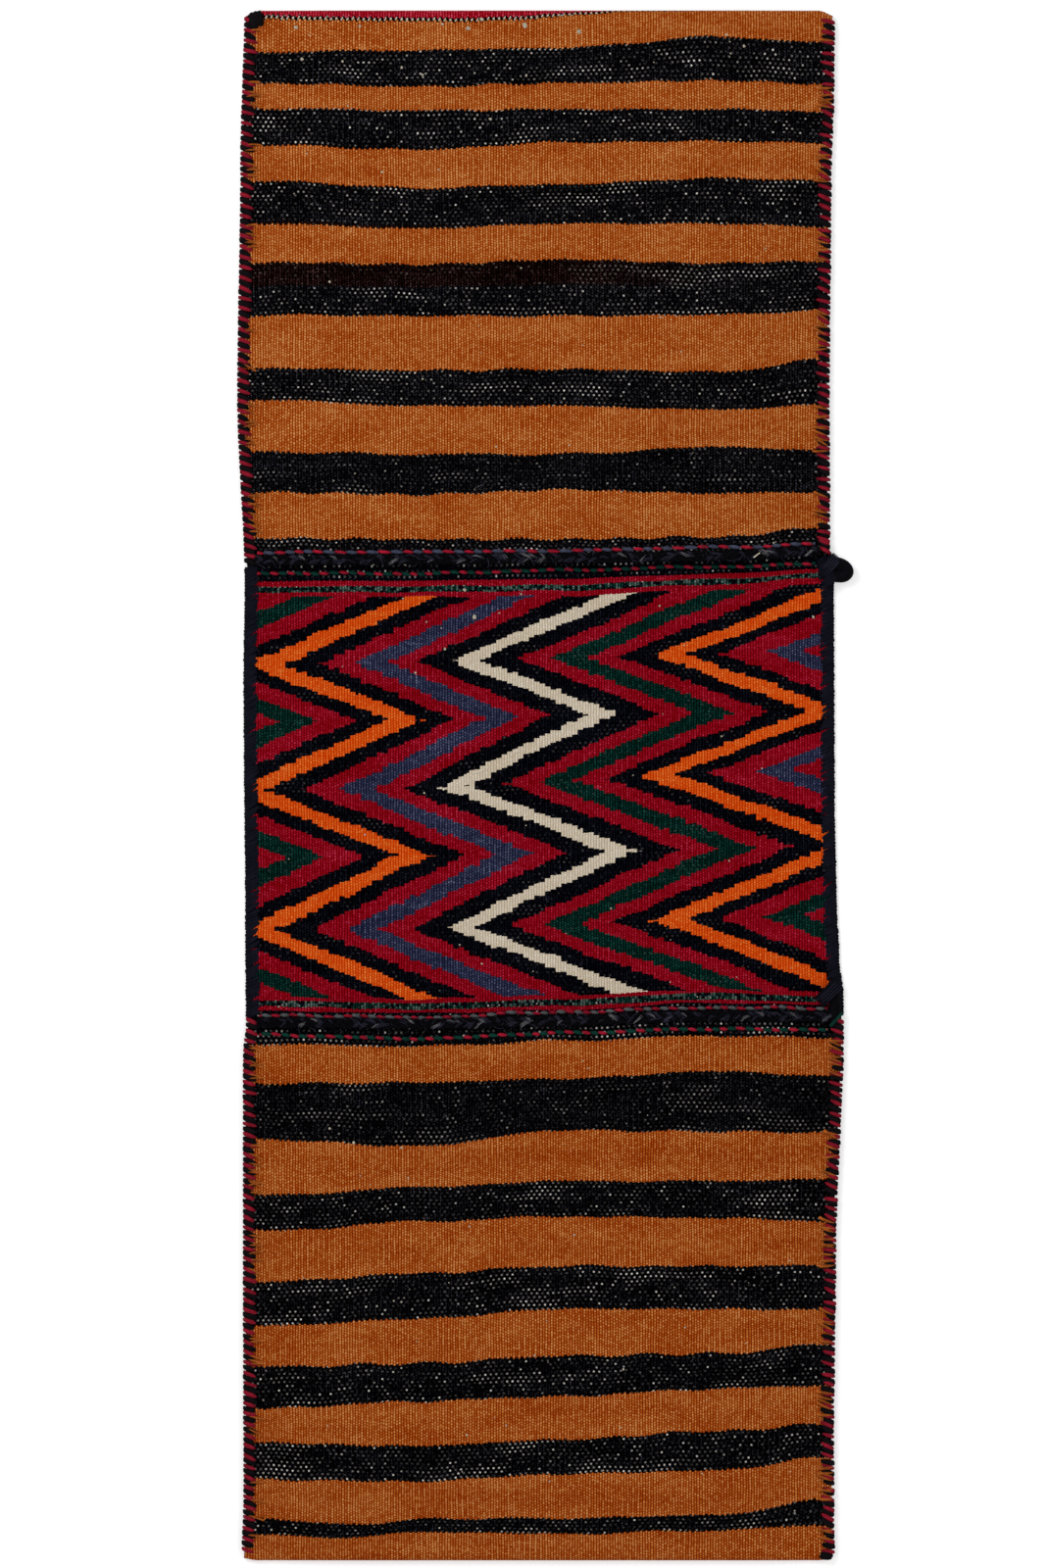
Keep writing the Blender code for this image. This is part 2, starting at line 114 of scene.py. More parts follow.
# Five places across the bag, and how far each band's edge lies from its fold there, in millimetres
PLACES = (-0.217, -0.098, 0.021, 0.141, 0.223)
UPPER_EDGES = (
    (34, 33, 31, 22, 26),
    (60, 63, 60, 58, 60),
    (80, 82, 81, 81, 82),
    (110, 114, 108, 107, 108),
    (139, 145, 142, 137, 138),
    (174, 178, 174, 174, 176),
    (205, 207, 203, 206, 204),
    (248, 249, 249, 248, 244),
    (291, 293, 292, 294, 284),
    (317, 322, 322, 325, 321),
    (359, 361, 361, 355, 357),
    (392, 394, 390, 393, 392),
    (429, 430, 430, 428, 420),
)
LOWER_EDGES = (
    (21, 24, 22, 25, 29),
    (35, 35, 35, 38, 50),
    (66, 65, 71, 74, 84),
    (96, 94, 99, 106, 111),
    (124, 130, 134, 140, 142),
    (158, 161, 167, 169, 176),
    (191, 197, 205, 205, 204),
    (227, 234, 240, 240, 240),
    (268, 276, 280, 279, 276),
    (297, 304, 309, 309, 310),
    (342, 337, 350, 349, 348),
    (388, 389, 392, 398, 394),
    (419.5, 418, 422.5, 426.6, 425),
)
EDGES = {UPPER: UPPER_EDGES, LOWER: LOWER_EDGES}
# An edge that climbs or falls by more than this many millimetres to the right-hand seam does so late
STEEP = 3
LATE_CLIMB = 1.8
# How far each mouth's lip lies above its even line at the same places, in millimetres towards +Y
UPPER_MOUTH_LIFT = (0, 0.5, 1.6, 3.2, 7.5)
LOWER_MOUTH_LIFT = (0, -1, 1.5, 5.5, 5)
MOUTH_LIFTS = {UPPER: UPPER_MOUTH_LIFT, LOWER: LOWER_MOUTH_LIFT}

# Edges across the bridge, in millimetres below the upper lip: four bands, the zigzag's turns, four bands
BRIDGE_EDGES = (
    (13.5, 13, 11.6, 7.5, 3),
    (17.7, 17.3, 16.2, 11.4, 6.6),
    (22.5, 22.3, 21, 16.2, 10.2),
    (25.9, 25.9, 25.1, 20.5, 15.3),
    (81.2, 78.8, 75.6, 72.4, 70),
    (127.4, 125.8, 122.2, 120.6, 119.4),
    (183, 182, 176, 169.6, 165.6),
    (238, 236.4, 234.4, 231.2, 228.5),
    (296.9, 296.1, 292.1, 287.8, 285),
    (351.6, 353.2, 350.2, 345.6, 347.6),
    (354.4, 356.6, 353.4, 348, 351.2),
    (359.3, 361.9, 358.6, 353.8, 355.6),
    (363, 364.4, 362.2, 356, 357.8),
)
FIRST_TURN = 3
LAST_TURN = 9
# Middles of the left orange, slate, ivory, green and right orange lines at each turn, in millimetres
LINE_MIDDLES = (
    (-95, -18, 65, 155, 255), (-224, -134, -60, 24, 107), (-108, -32, 51, 143, 235),
    (-238, -146, -69, 14, 98), (-102, -21, 66, 159, 256), (-229, -142, -63, 17, 107),
    (-95, -12, 76, 165, 255),
)
LINE_SPACING = 0.156
# Half widths and the reach of black, in a measure in which the orange and the ivory line are 1 apart
LINE_HALF = 0.083
IVORY_HALF = 0.067
BLACK_REACH = 0.262
ACCENT_HALF = 0.082
OUTER_ACCENT_HALF = 0.098
# The back's crimson starts behind the top fold and comes over it by a share that changes across
CRIMSON_BEHIND = 0.003
CRIMSON_REACH = 0.013
FOLD_REACH = (
    (0, 0.74), (0.12, 0.80), (0.24, 0.84), (0.38, 0.89), (0.46, 0.80), (0.58, 0.52), (0.66, 0.22), (1, 0),
)

# How far the bridge's smoother weave reaches past its ends, and how far inside them bare spots are rare
BRIDGE_MARGIN = 0.010
INNER_MARGIN = 0.0145
# Length along the strip of one dash in the two narrow bands beside the zigzag
DASH_ROW = 0.0023

# The cloth's grid: the outer columns in millimetres from each edge, and how many lie evenly between
COLUMN_INSETS = (1.5, 5, 8.5, 12, 15.3, 18.6, 22, 27, 33, 39)
MIDDLE_COLUMNS = 84
ROW_SPACING = 0.0040
HIDDEN_ROW_SPACING = 0.034

# Yarns at the mouths, from the lip: positive is into the pocket, and the four twined rows are in millimetres
BRAID_MIDDLE = 0.0035
UPPER_LIP_ROW = (9.8, 9.6, 9.4, 10.8, 9.4)
UPPER_BRIDGE_ROW = (-6.8, -7.6, -5.8, -4.6, -6.3)
LOWER_BRIDGE_ROW = (-2.2, -1.2, -3.1, -2.7, -2.7)
LOWER_LIP_ROW = (13.7, 15.6, 13.4, 14.1, 14.4)
FLATNESS = 0.7
# Points in one turn of a yarn, and how many wisps and loose hairs a braid has and small slubs the cloth has
TURN_STEPS = 14
WISPS = 110
LOOSE_HAIRS = 90
SMALL_SLUBS = 90


def srgb(red, green, blue):
    """A colour as a paint chart gives it, 0 to 255, turned into the linear values that a shader takes."""
    return tuple(
        part / 3294.6 if part <= 10 else ((part / 255 + 0.055) / 1.055) ** 2.4 for part in (red, green, blue)
    )


def blend(low, high, value):
    """0 below low, 1 above high, and a smooth step between."""
    share = min(max((value - low) / (high - low), 0.0), 1.0)
    return share * share * (3 - 2 * share)


def through(knots, value):
    """Straight runs through (place, height) knots, level beyond both ends."""
    if value <= knots[0][0]:
        return knots[0][1]
    for (start, low), (end, high) in zip(knots, knots[1:]):
        if value <= end:
            return low + (high - low) * (value - start) / (end - start)
    return knots[-1][1]


def across(heights, x):
    """Eases through five heights in millimetres, one at each of the places across; gives metres."""
    if x <= PLACES[0]:
        return heights[0] * MM
    for index in range(len(PLACES) - 1):
        if x <= PLACES[index + 1]:
            share = blend(PLACES[index], PLACES[index + 1], x)
            if index == 3 and abs(heights[4] - heights[3]) > STEEP:
                share = share ** LATE_CLIMB
            return (heights[index] + (heights[index + 1] - heights[index]) * share) * MM
    return heights[-1] * MM


def bag_edge(side, y):
    """X of the bag's outer edge, over the overcasting."""
    knots = LEFT_SWAY if side == LEFT else RIGHT_SWAY
    place = max(min(y / HALF_LENGTH, 1.0), -1.0)
    for (start, low), (end, high) in zip(knots, knots[1:]):
        if place <= end:
            break
    return side * (HALF_WIDTH + MM * (low + (high - low) * blend(start, end, place)))


def inset_at(x, y):
    """Distance inwards from the nearer outer edge."""
    return min(x - bag_edge(LEFT, y), bag_edge(RIGHT, y) - x)


def crown(inset):
    return through(CROWN_KNOTS, inset)


def ripple(x, y):
    """The slight lifts of cloth that isn't pressed flat, from 0 to 1."""
    long = math.sin(31 * x + 9 * y + 0.6) * math.sin(17 * y - 5 * x + 1.1)
    short = math.sin(67 * x - 21 * y) * math.sin(43 * y + 12 * x + 2.3)
    return 0.5 + 0.34 * long + 0.16 * short


def back_top(x, y):
    """Height of the upper side of the back layer and of the bridge."""
    inset = inset_at(x, y)
    return through(LIFT_KNOTS, inset) + CLOTH + 0.0007 * ripple(x, y) * crown(inset)


def fullness(depth, pocket):
    """Room between the two layers, at a distance from the fold."""
    rise = blend(0, FULLNESS_RUN, depth)
    fall = blend(pocket - FULLNESS_RUN, pocket, depth)
    return FOLD_FULLNESS + (POCKET_FULLNESS - FOLD_FULLNESS) * rise - (POCKET_FULLNESS - LIP_FULLNESS) * fall


def face_inner(x, y, end):
    """Height of the inside of a pocket's face."""
    depth = HALF_LENGTH - end * y
    inset = inset_at(x, y)
    waves = 0.0012 * (ripple(y + 0.3, x) - 0.5) * crown(inset) * blend(0, 0.02, depth)
    return back_top(x, y) + FIT + fullness(depth, POCKETS[end]) * crown(inset) + waves


def lip(end, x):
    """Y of a mouth's lip."""
    return LIPS[end] + across(MOUTH_LIFTS[end], x)


def surface(x, y):
    """Height of the top of whatever cloth lies uppermost."""
    for end in (UPPER, LOWER):
        if end * y > end * lip(end, x):
            return face_inner(x, y, end) + CLOTH
    return back_top(x, y)


def deselect():
    bpy.ops.object.select_all(action="DESELECT")


def activate(thing):
    deselect()
    thing.select_set(True)
    bpy.context.view_layer.objects.active = thing


def yarn(name, points, radius, roundness=1, shares=None):
    """A run of yarn through points, made a mesh whose UV map counts metres along it."""
    line = bpy.data.curves.new(name, "CURVE")
    line.dimensions = "3D"
    line.bevel_depth = radius
    line.bevel_resolution = roundness
    line.use_fill_caps = True
    spline = line.splines.new("POLY")
    spline.points.add(len(points) - 1)
    for index, (point, place) in enumerate(zip(spline.points, points)):
        point.co = (*place, 1)
        point.radius = shares[index] if shares else 1.0
    thing = bpy.data.objects.new(name, line)
    bpy.context.scene.collection.objects.link(thing)
    activate(thing)
    bpy.ops.object.convert(target="MESH")
    length = sum((Vector(b) - Vector(a)).length for a, b in zip(points, points[1:]))
    for corner in thing.data.uv_layers[0].data:
        corner.uv.y *= length
    bpy.ops.object.shade_smooth()
    return thing


def painted(thing, material):
    thing.data.materials.clear()
    thing.data.materials.append(material)
    return thing


def copied(template, matrix):
    """A copy with its own mesh, put in place in that mesh."""
    copy = template.copy()
    copy.data = template.data.copy()
    copy.data.transform(matrix)
    bpy.context.scene.collection.objects.link(copy)
    return copy


def joined(name, pieces):
    deselect()
    for piece in pieces:
        piece.select_set(True)
    bpy.context.view_layer.objects.active = pieces[0]
    bpy.ops.object.join()
    pieces[0].name = name
    pieces[0].data.name = name
    return pieces[0]


def remove(*things):
    for thing in things:
        bpy.data.objects.remove(thing, do_unlink=True)


def finished(thing, slot, *nodes):
    """Rides the bag's only body and stands for its solids. The slot is not used."""
    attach(thing, "root")
    if nodes:
        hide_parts(*nodes)


def turn(angle, axis="Z"):
    return Matrix.Rotation(angle, 4, axis)


def move(x, y, z):
    return Matrix.Translation((x, y, z))


def stretch(x, y, z):
    return Matrix.Diagonal((x, y, z, 1))


def arithmetic(operation, turned=False):
    """One of Python's operators as a method that adds a Math node; turned puts the socket second."""

    def method(self, other):
        return self.shading.math(operation, *((other, self) if turned else (self, other)))

    return method


class Socket:
    """A shader socket that takes part in arithmetic; each operation adds its Math node."""

    def __init__(self, shading, socket):
        self.shading = shading
        self.socket = socket

    __add__ = __radd__ = arithmetic("ADD")
    __sub__ = arithmetic("SUBTRACT")
    __rsub__ = arithmetic("SUBTRACT", True)
    __mul__ = __rmul__ = arithmetic("MULTIPLY")
    __truediv__ = arithmetic("DIVIDE")
    __pow__ = arithmetic("POWER")
    __gt__ = arithmetic("GREATER_THAN")
    __lt__ = arithmetic("LESS_THAN")


class Shading:
    """A material written as expressions on its sockets."""

    def __init__(self, name, roughness, shine=0.1):
        self.material = bpy.data.materials.new(name)
        self.material.use_nodes = True
        self.tree = self.material.node_tree
        self.shader = self.tree.nodes["Principled BSDF"]
        self.shader.inputs["Roughness"].default_value = roughness
        self.shader.inputs["Specular IOR Level"].default_value = shine

    def node(self, kind, settings=None, inputs=None, output=0):
        """Adds a node: its settings first, and then the values or links of its sockets."""
        made = self.tree.nodes.new(kind)
        for key, value in (settings or {}).items():
            if key == "stops":
                self.set_stops(made.color_ramp, value)
            elif key == "interpolation":
                made.color_ramp.interpolation = value
            else:
                setattr(made, key, value)
        for key, value in (inputs or {}).items():
            self.feed(made.inputs[key], value)
        return Socket(self, made.outputs[output])

    def set_stops(self, ramp, stops):
        ramp.elements.remove(ramp.elements[1])
        for index, (place, value) in enumerate(stops):
            stop = ramp.elements[0] if index == 0 else ramp.elements.new(place)
            stop.position = place
            stop.color = (*value, 1) if isinstance(value, tuple) else (value, value, value, 1)

    def feed(self, entry, value):
        if isinstance(value, Socket):
            self.tree.links.new(value.socket, entry)
        elif isinstance(value, tuple) and entry.type == "RGBA":
            entry.default_value = (*value, 1)
        else:
            entry.default_value = value

    def math(self, operation, *values):
        return self.node("ShaderNodeMath", {"operation": operation}, dict(enumerate(values)))

    def between(self, value, low, high):
        """1 where low < value < high."""
        return (value > low) * (value < high)

    def smooth(self, value, low, high):
        """A smooth step from 0 at low to 1 at high."""
        settings = {"interpolation_type": "SMOOTHSTEP"}
        return self.node("ShaderNodeMapRange", settings, {0: value, 1: low, 2: high})

    def mix(self, factor, first, second):
        """Two colours mixed by a factor."""
        return self.node("ShaderNodeMix", {"data_type": "RGBA"}, {0: factor, 6: first, 7: second}, 2)

    def ramp(self, value, stops, interpolation="CONSTANT"):
        settings = {"stops": stops, "interpolation": interpolation}
        return self.node("ShaderNodeValToRGB", settings, {0: value})

    def uv(self, name):
        """The two numbers of a UV map."""
        map_node = self.node("ShaderNodeUVMap", {"uv_map": name})
        return tuple(self.node("ShaderNodeSeparateXYZ", None, {0: map_node}, index) for index in (0, 1))

    def place(self, x, y, z=0.0):
        return self.node("ShaderNodeCombineXYZ", None, {0: x, 1: y, 2: z})

    def chance(self, vector):
        """A random number from 0 to 1 for each whole-numbered place."""
        return self.node("ShaderNodeTexWhiteNoise", {"noise_dimensions": "3D"}, {0: vector})

    def noise(self, vector, scale, detail=1.0):
        inputs = {"Vector": vector, "Scale": scale, "Detail": detail}
        return self.node("ShaderNodeTexNoise", {"noise_dimensions": "3D"}, inputs)

    def patches(self, x, y, z=0.0, detail=1.0):
        """Noise at a place whose numbers are scaled already."""
        return self.noise(self.place(x, y, z), 1.0, detail)

    def scaled(self, color, factor):
        """A colour times a number."""
        return self.node("ShaderNodeVectorMath", {"operation": "SCALE"}, {0: color, "Scale": factor})

    def bump(self, height, distance, strength):
        inputs = {"Height": height, "Distance": distance, "Strength": strength}
        self.feed(self.shader.inputs["Normal"], self.node("ShaderNodeBump", None, inputs))

    def color(self, value):
        self.feed(self.shader.inputs["Base Color"], value)


def number_setting(name, text, default, **more):
    return bpy.props.FloatProperty(name=name, description=text, default=default, **more)


def length_setting(name, text, default):
    return number_setting(name, text, default, unit="LENGTH", precision=5)


def color_setting(name, text, *parts):
    return bpy.props.FloatVectorProperty(
        name=name, description=text, default=srgb(*parts), size=3, min=0, max=1, subtype="COLOR"
    )


class ClothSettings(bpy.types.PropertyGroup):
    """Weave and dyes of the woven strip."""

    warp_pitch: length_setting("Warp pitch", "Distance between neighbouring warp ribs", 0.0022)
    weft_pitch: length_setting("Weft pitch", "Length of one bead of weft along a rib", 0.0021)
    dot_pitch: length_setting("Dot pitch", "Distance across between bare spots of the warp", 0.0044)
    dot_row: length_setting("Dot rows", "Distance between two rows of bare spots", 0.0032)
    tooth: length_setting("Tooth", "How far a colour reaches along every second warp", 0.0014)
    # Depth sets the painted shade in the gaps between the ribs, and the highlight contrast sets the painted
    # highlight on the tips of the beads
    depth: number_setting("Depth", "Gamma of a dye in the gaps between the ribs", 1.76, min=0)
    contrast: number_setting("Contrast", "How much lighter the worn tips are than the gaps", 1.22, min=0)
    lower_depth: number_setting("Lower depth", "Gamma that deepens the lower pocket's dyes", 1.06, min=0)
    orange: color_setting("Orange", "Madder and pomegranate orange of the bands", 166, 84, 28)
    black: color_setting("Black", "Dark wool of the bands", 12, 11, 15)
    brown: color_setting("Brown", "Undyed brown wool in one of the bands", 23, 9, 8)
    zigzag_black: color_setting("Zigzag black", "Blue-black wool of the bridge", 17, 18, 27)
    crimson: color_setting("Crimson", "Crimson of the zigzag", 146, 14, 34)
    fold_crimson: color_setting("Fold crimson", "Crimson of the back, seen at the top fold", 160, 20, 38)
    flame: color_setting("Flame orange", "Bright orange of the zigzag lines", 212, 93, 27)
    ivory: color_setting("Ivory", "Undyed wool of the middle line and of the warp", 208, 196, 177)
    green: color_setting("Green", "Dark green of the zigzag", 15, 52, 46)
    slate: color_setting("Slate", "Slate blue of the zigzag", 55, 59, 84)


class YarnSettings(bpy.types.PropertyGroup):
    """Sewing, twining and braiding yarns."""

    stitch_spacing: length_setting("Stitch spacing", "From a red stitch to the next black one", 0.0042)
    stitch_reach: length_setting("Stitch reach", "How far a side stitch reaches in from the edge", 0.0108)
    selvedge_spacing: length_setting("Selvedge spacing", "Distance between turns of the overcasting", 0.0026)
    wide_twist: length_setting("Wide twist", "Length of one turn of the row with slate", 0.0172)
    tight_twist: length_setting("Tight twist", "Length of one turn of the other rows", 0.0140)
    braid_turn: length_setting("Braid turn", "Length of one turn of a mouth's braid", 0.0180)
    red: color_setting("Red yarn", "Crimson sewing yarn", 146, 25, 44)
    dark: color_setting("Dark yarn", "Black sewing yarn", 19, 15, 18)
    navy: color_setting("Navy yarn", "Dark blue overcasting yarn", 22, 22, 34)
    hair: color_setting("Goat hair", "Dark goat hair of the braids and loops", 9, 9, 14)
    twined_red: color_setting("Twining red", "Bright crimson of the twined rows", 178, 30, 54)
    twined_green: color_setting("Twining green", "Green of the twined rows", 17, 64, 54)
    twined_slate: color_setting("Twining slate", "Slate blue of the twined rows", 76, 80, 102)
    twined_grey: color_setting("Twining grey", "Grey of the twined rows", 104, 106, 108)


class StageSettings(bpy.types.PropertyGroup):
    """Floor, light and camera."""

    camera_height: length_setting("Camera height", "Height of the camera over the floor", 6.0)
    view_height: length_setting("View height", "Length of the bag's plane that the picture shows", 1.2736)
    view_x: length_setting("View X", "Where the camera points, across", -0.0115)
    view_y: length_setting("View Y", "Where the camera points, along", 0.0012)
    sky: number_setting("Sky", "Strength of the even light", 0.62, min=0)
    key: number_setting("Key lamp", "Power of the main lamp", 34.0, min=0, unit="POWER")


def weave_material(cloth):
    """The cloth: bands, zigzag, beads of weft on warp ribs with painted highlights on their tips and painted
    shade in the gaps, and bare spots of ivory warp.
    """
    shade = Shading("kilim_weave", 0.95, 0.0)
    u, s = shade.uv("weave")
    phase, _ = shade.uv("zigzag")
    bridge = shade.between(s, BRIDGE_S - BRIDGE_MARGIN, BRIDGE_END_S + BRIDGE_MARGIN)
    inner = shade.between(s, BRIDGE_S + INNER_MARGIN, BRIDGE_END_S - INNER_MARGIN)
    warp = (u + (shade.noise(shade.place(u, s, 3.0), 60.0) - 0.5) * 0.0011) / cloth.warp_pitch
    column = shade.math("FLOOR", warp)
    odd = shade.math("FLOORED_MODULO", column, 2.0)
    rib = warp - column
    # Beads of weft, half a bead apart on neighbouring ribs
    slide = shade.noise(shade.place(u, s), 14.0) * 3.0
    slide += shade.patches(column * 5.3, s * 90) * 1.2
    row_place = s / cloth.weft_pitch + odd * 0.5 + slide
    row = shade.math("FLOOR", row_place)
    rib_height = 1 - (rib * 2 - 1) ** 2
    dome = 1 - ((row_place - row) * 2 - 1) ** 2
    luck = shade.chance(shade.place(column, row))
    column_luck = shade.chance(shade.place(column, 7.0))

    # Dyes, whose edges step from rib to rib
    tooth = (shade.math("PINGPONG", warp + 0.5, 1.0) - 0.5 + (column_luck - 0.5) * 0.6) * cloth.tooth
    undyed = undyed_patch(shade, s + tooth, u)
    ground = band_colors(shade, cloth, s + tooth * (1 - bridge * 0.6), u, phase, column, undyed)
    luminance = shade.node("ShaderNodeRGBToBW", None, {0: ground})
    dark = shade.smooth(luminance, 0.050, 0.014)

    # Painted light and shade: painted highlights on the tips of the beads and painted shade deep in the gaps
    # between the ribs, with the wool's own mottled fading and slubs
    clouds = shade.patches(u * 16, s * 55, 2.0, 2.0)
    slubs = shade.smooth(shade.patches(u * 75, s * 190, 4.0), 0.64, 0.78)
    streak = shade.patches(column * 3.7, s * 130)
    pair = shade.patches(u * 24, s * 24, 6.0)
    grain = shade.patches(u * 800, s * 560, 1.0)
    strength = luck * 0.24 + streak * 0.16 + grain * 0.45 + 0.14 + (pair - 0.5) * (odd - 0.5) * 0.8
    bead_highlight = rib_height * (0.45 + dome * 0.55) * strength
    highlight_and_mottle = bead_highlight * 1.70 + (clouds - 0.5) * 0.45 + slubs * 0.30
    # The gamma lightens the dye under the painted highlights and darkens it in the painted shade of the gaps
    gamma = cloth.depth - highlight_and_mottle * cloth.contrast * (1 - bridge * 0.22) * (1 - dark * 0.18)
    gamma = shade.math("MAXIMUM", gamma, 0.5)
    wool = shade.node("ShaderNodeGamma", None, {0: ground, 1: gamma})
    wool = shade.mix(slubs * (1 - dark) * 0.35, wool, ground)
    dots = bare_spots(shade, cloth, u, s, dark) * (1 - inner * 0.91) * (1 - undyed * 0.85)
    bare_warp = srgb(232, 226, 216)
    shade.color(shade.mix(dots, wool, bare_warp))
    fibres = shade.noise(shade.place(u, s, 5.0), 900.0, 2.0)
    shade.bump(rib_height * (0.6 + dome * 0.4) + fibres * 0.35 + slubs, 0.0008, 0.8)
    return shade.material


def nominal(edges):
    """One distance for each edge, in metres: the mean of its five."""
    return [sum(edge) / len(edge) * MM for edge in edges]


# Places along the strip, from the upper lip over both folds and the back to the lower lip
FOLD_ARC = math.pi * FOLD_AXIS
UPPER_FOLD_S = UPPER_POCKET - FOLD_AXIS
BACK_S = UPPER_FOLD_S + FOLD_ARC
BRIDGE_S = BACK_S + UPPER_POCKET - FOLD_AXIS
BRIDGE_END_S = BRIDGE_S + UPPER_LIP - LOWER_LIP
LOWER_FOLD_S = BRIDGE_END_S + LOWER_POCKET - FOLD_AXIS
LOWER_FACE_S = LOWER_FOLD_S + FOLD_ARC
END_S = LOWER_FACE_S + LOWER_POCKET - FOLD_AXIS


def undyed_patch(shade, s, u):
    """1 where a dark band of the upper pocket has undyed brown wool, on the left."""
    edges = nominal(UPPER_EDGES)
    wide = shade.between(s, UPPER_POCKET - edges[6] - 0.0185, UPPER_POCKET - edges[6])
    narrow = shade.between(s, UPPER_POCKET - edges[5], UPPER_POCKET - edges[5] + 0.0024)
    return shade.math("MAXIMUM", wide * shade.smooth(u, 0.42, 0.26), narrow * shade.smooth(u, 0.20, 0.16))


def in_dark_bands(shade, depth, edges):
    """1 between the first and second edge, the third and fourth, and so on."""
    crossed = sum(depth > edge for edge in nominal(edges))
    return shade.math("FLOORED_MODULO", crossed, 2.0)


def band_colors(shade, cloth, s, u, phase, column, undyed):
    """The dyed colour at each place along the strip."""
    orange = tuple(cloth.orange)
    black = tuple(cloth.black)
    brown = tuple(cloth.brown)
    back = shade.ramp((s - BACK_S) / (LOWER_FOLD_S - BACK_S), back_stops(cloth))
    color = zigzag_colors(shade, cloth, s, u, phase, column, back)

    upper = shade.mix(in_dark_bands(shade, UPPER_POCKET - s, UPPER_EDGES), orange, black)
    upper = shade.mix(undyed, upper, brown)
    reach = shade.ramp(u / (2 * HALF_WIDTH), FOLD_REACH, "EASE")
    crimson_start = UPPER_FOLD_S + FOLD_ARC / 2 + CRIMSON_BEHIND - CRIMSON_REACH * reach
    before = crimson_start - s
    side = (shade.math("FRACT", u / cloth.dot_pitch) - 0.5) * (cloth.dot_pitch / MM)
    spot = side ** 2 + ((before / MM) - 1.3) ** 2
    rim = shade.mix(spot < 0.75, brown, tuple(cloth.ivory))
    upper = shade.mix(shade.between(before, 0.0, 0.0026), upper, rim)
    upper = shade.mix(before < 0, upper, tuple(cloth.fold_crimson))
    color = shade.mix(s < BACK_S - FOLD_ARC * 0.3, color, upper)

    lower = shade.mix(in_dark_bands(shade, s - (END_S - LOWER_POCKET), LOWER_EDGES), orange, black)
    lower = shade.node("ShaderNodeGamma", None, {0: lower, 1: cloth.lower_depth})
    return shade.mix(s > LOWER_FOLD_S + FOLD_ARC * 0.3, color, lower)


def back_stops(cloth):
    """The plain back: crimson with a few dark bands."""
    crimson = tuple(cloth.fold_crimson)
    navy = tuple(cloth.black)
    stops = [(0.0, crimson)]
    for place in (0.06, 0.13, 0.20, 0.27, 0.71, 0.78, 0.85, 0.92):
        stops.append((place, navy))
        stops.append((place + 0.018, crimson))
    return stops


def zigzag_colors(shade, cloth, s, u, phase, column, back):
    """The bridge: narrow bands beside both mouths, and the zigzag between them."""
    black = tuple(cloth.zigzag_black)
    crimson = tuple(cloth.crimson)
    green = tuple(cloth.green)
    edges = [BRIDGE_S + edge for edge in nominal(BRIDGE_EDGES)]
    row = shade.math("FLOOR", s / DASH_ROW)
    dash = shade.chance(shade.place(column, row, 5.0))
    pale_green = srgb(74, 90, 84)
    dashed = shade.mix(dash > 0.70, shade.mix(dash > 0.34, black, green), pale_green)
    narrow = shade.between(s, edges[1], edges[2]) + shade.between(s, edges[-3], edges[-2])
    bands = shade.mix(shade.between(s, edges[0], edges[-1]), black, crimson)
    bands = shade.mix(narrow, bands, dashed)

    lines = {-1: tuple(cloth.flame), 0: tuple(cloth.ivory), 1: tuple(cloth.flame)}
    accents = ((-1.565, green), (-0.5, tuple(cloth.slate)), (0.5, green), (1.6, tuple(cloth.slate)))
    stops = [(-2.0, crimson)]
    for centre, accent in accents:
        before = math.floor(centre)
        half = ACCENT_HALF if abs(centre) < 1 else OUTER_ACCENT_HALF
        if before in lines:
            line_half = LINE_HALF if before else IVORY_HALF
            stops.append((before - line_half, lines[before]))
            stops.append((before + line_half, black))
            stops.append((before + BLACK_REACH, crimson))
        stops.append((centre - half, accent))
        stops.append((centre + half, crimson))
        if before + 1 in lines:
            stops.append((before + 1 - BLACK_REACH, black))
    stops = [((place + 2) / 4, tone) for place, tone in stops]
    step = 2 * cloth.warp_pitch
    in_step = (shade.math("FRACT", u / step) - 0.5) * step / LINE_SPACING
    uneven = shade.patches(shade.math("FLOOR", column / 2) * 0.7, s * 110)
    stepped = phase - in_step * 0.85 + (uneven - 0.5) * 0.12
    fields = shade.ramp((stepped + 2) / 4, stops)
    last = shade.between(stepped, 1.6 - OUTER_ACCENT_HALF, 1.6 + OUTER_ACCENT_HALF)
    fields = shade.mix(last * (s > edges[LAST_TURN - 2]), fields, green)
    field = shade.between(s, edges[FIRST_TURN], edges[LAST_TURN])
    bands = shade.mix(field, bands, fields)
    bridge = shade.between(s, BRIDGE_S - 0.03, BRIDGE_END_S + 0.03)
    return shade.mix(bridge, back, bands)


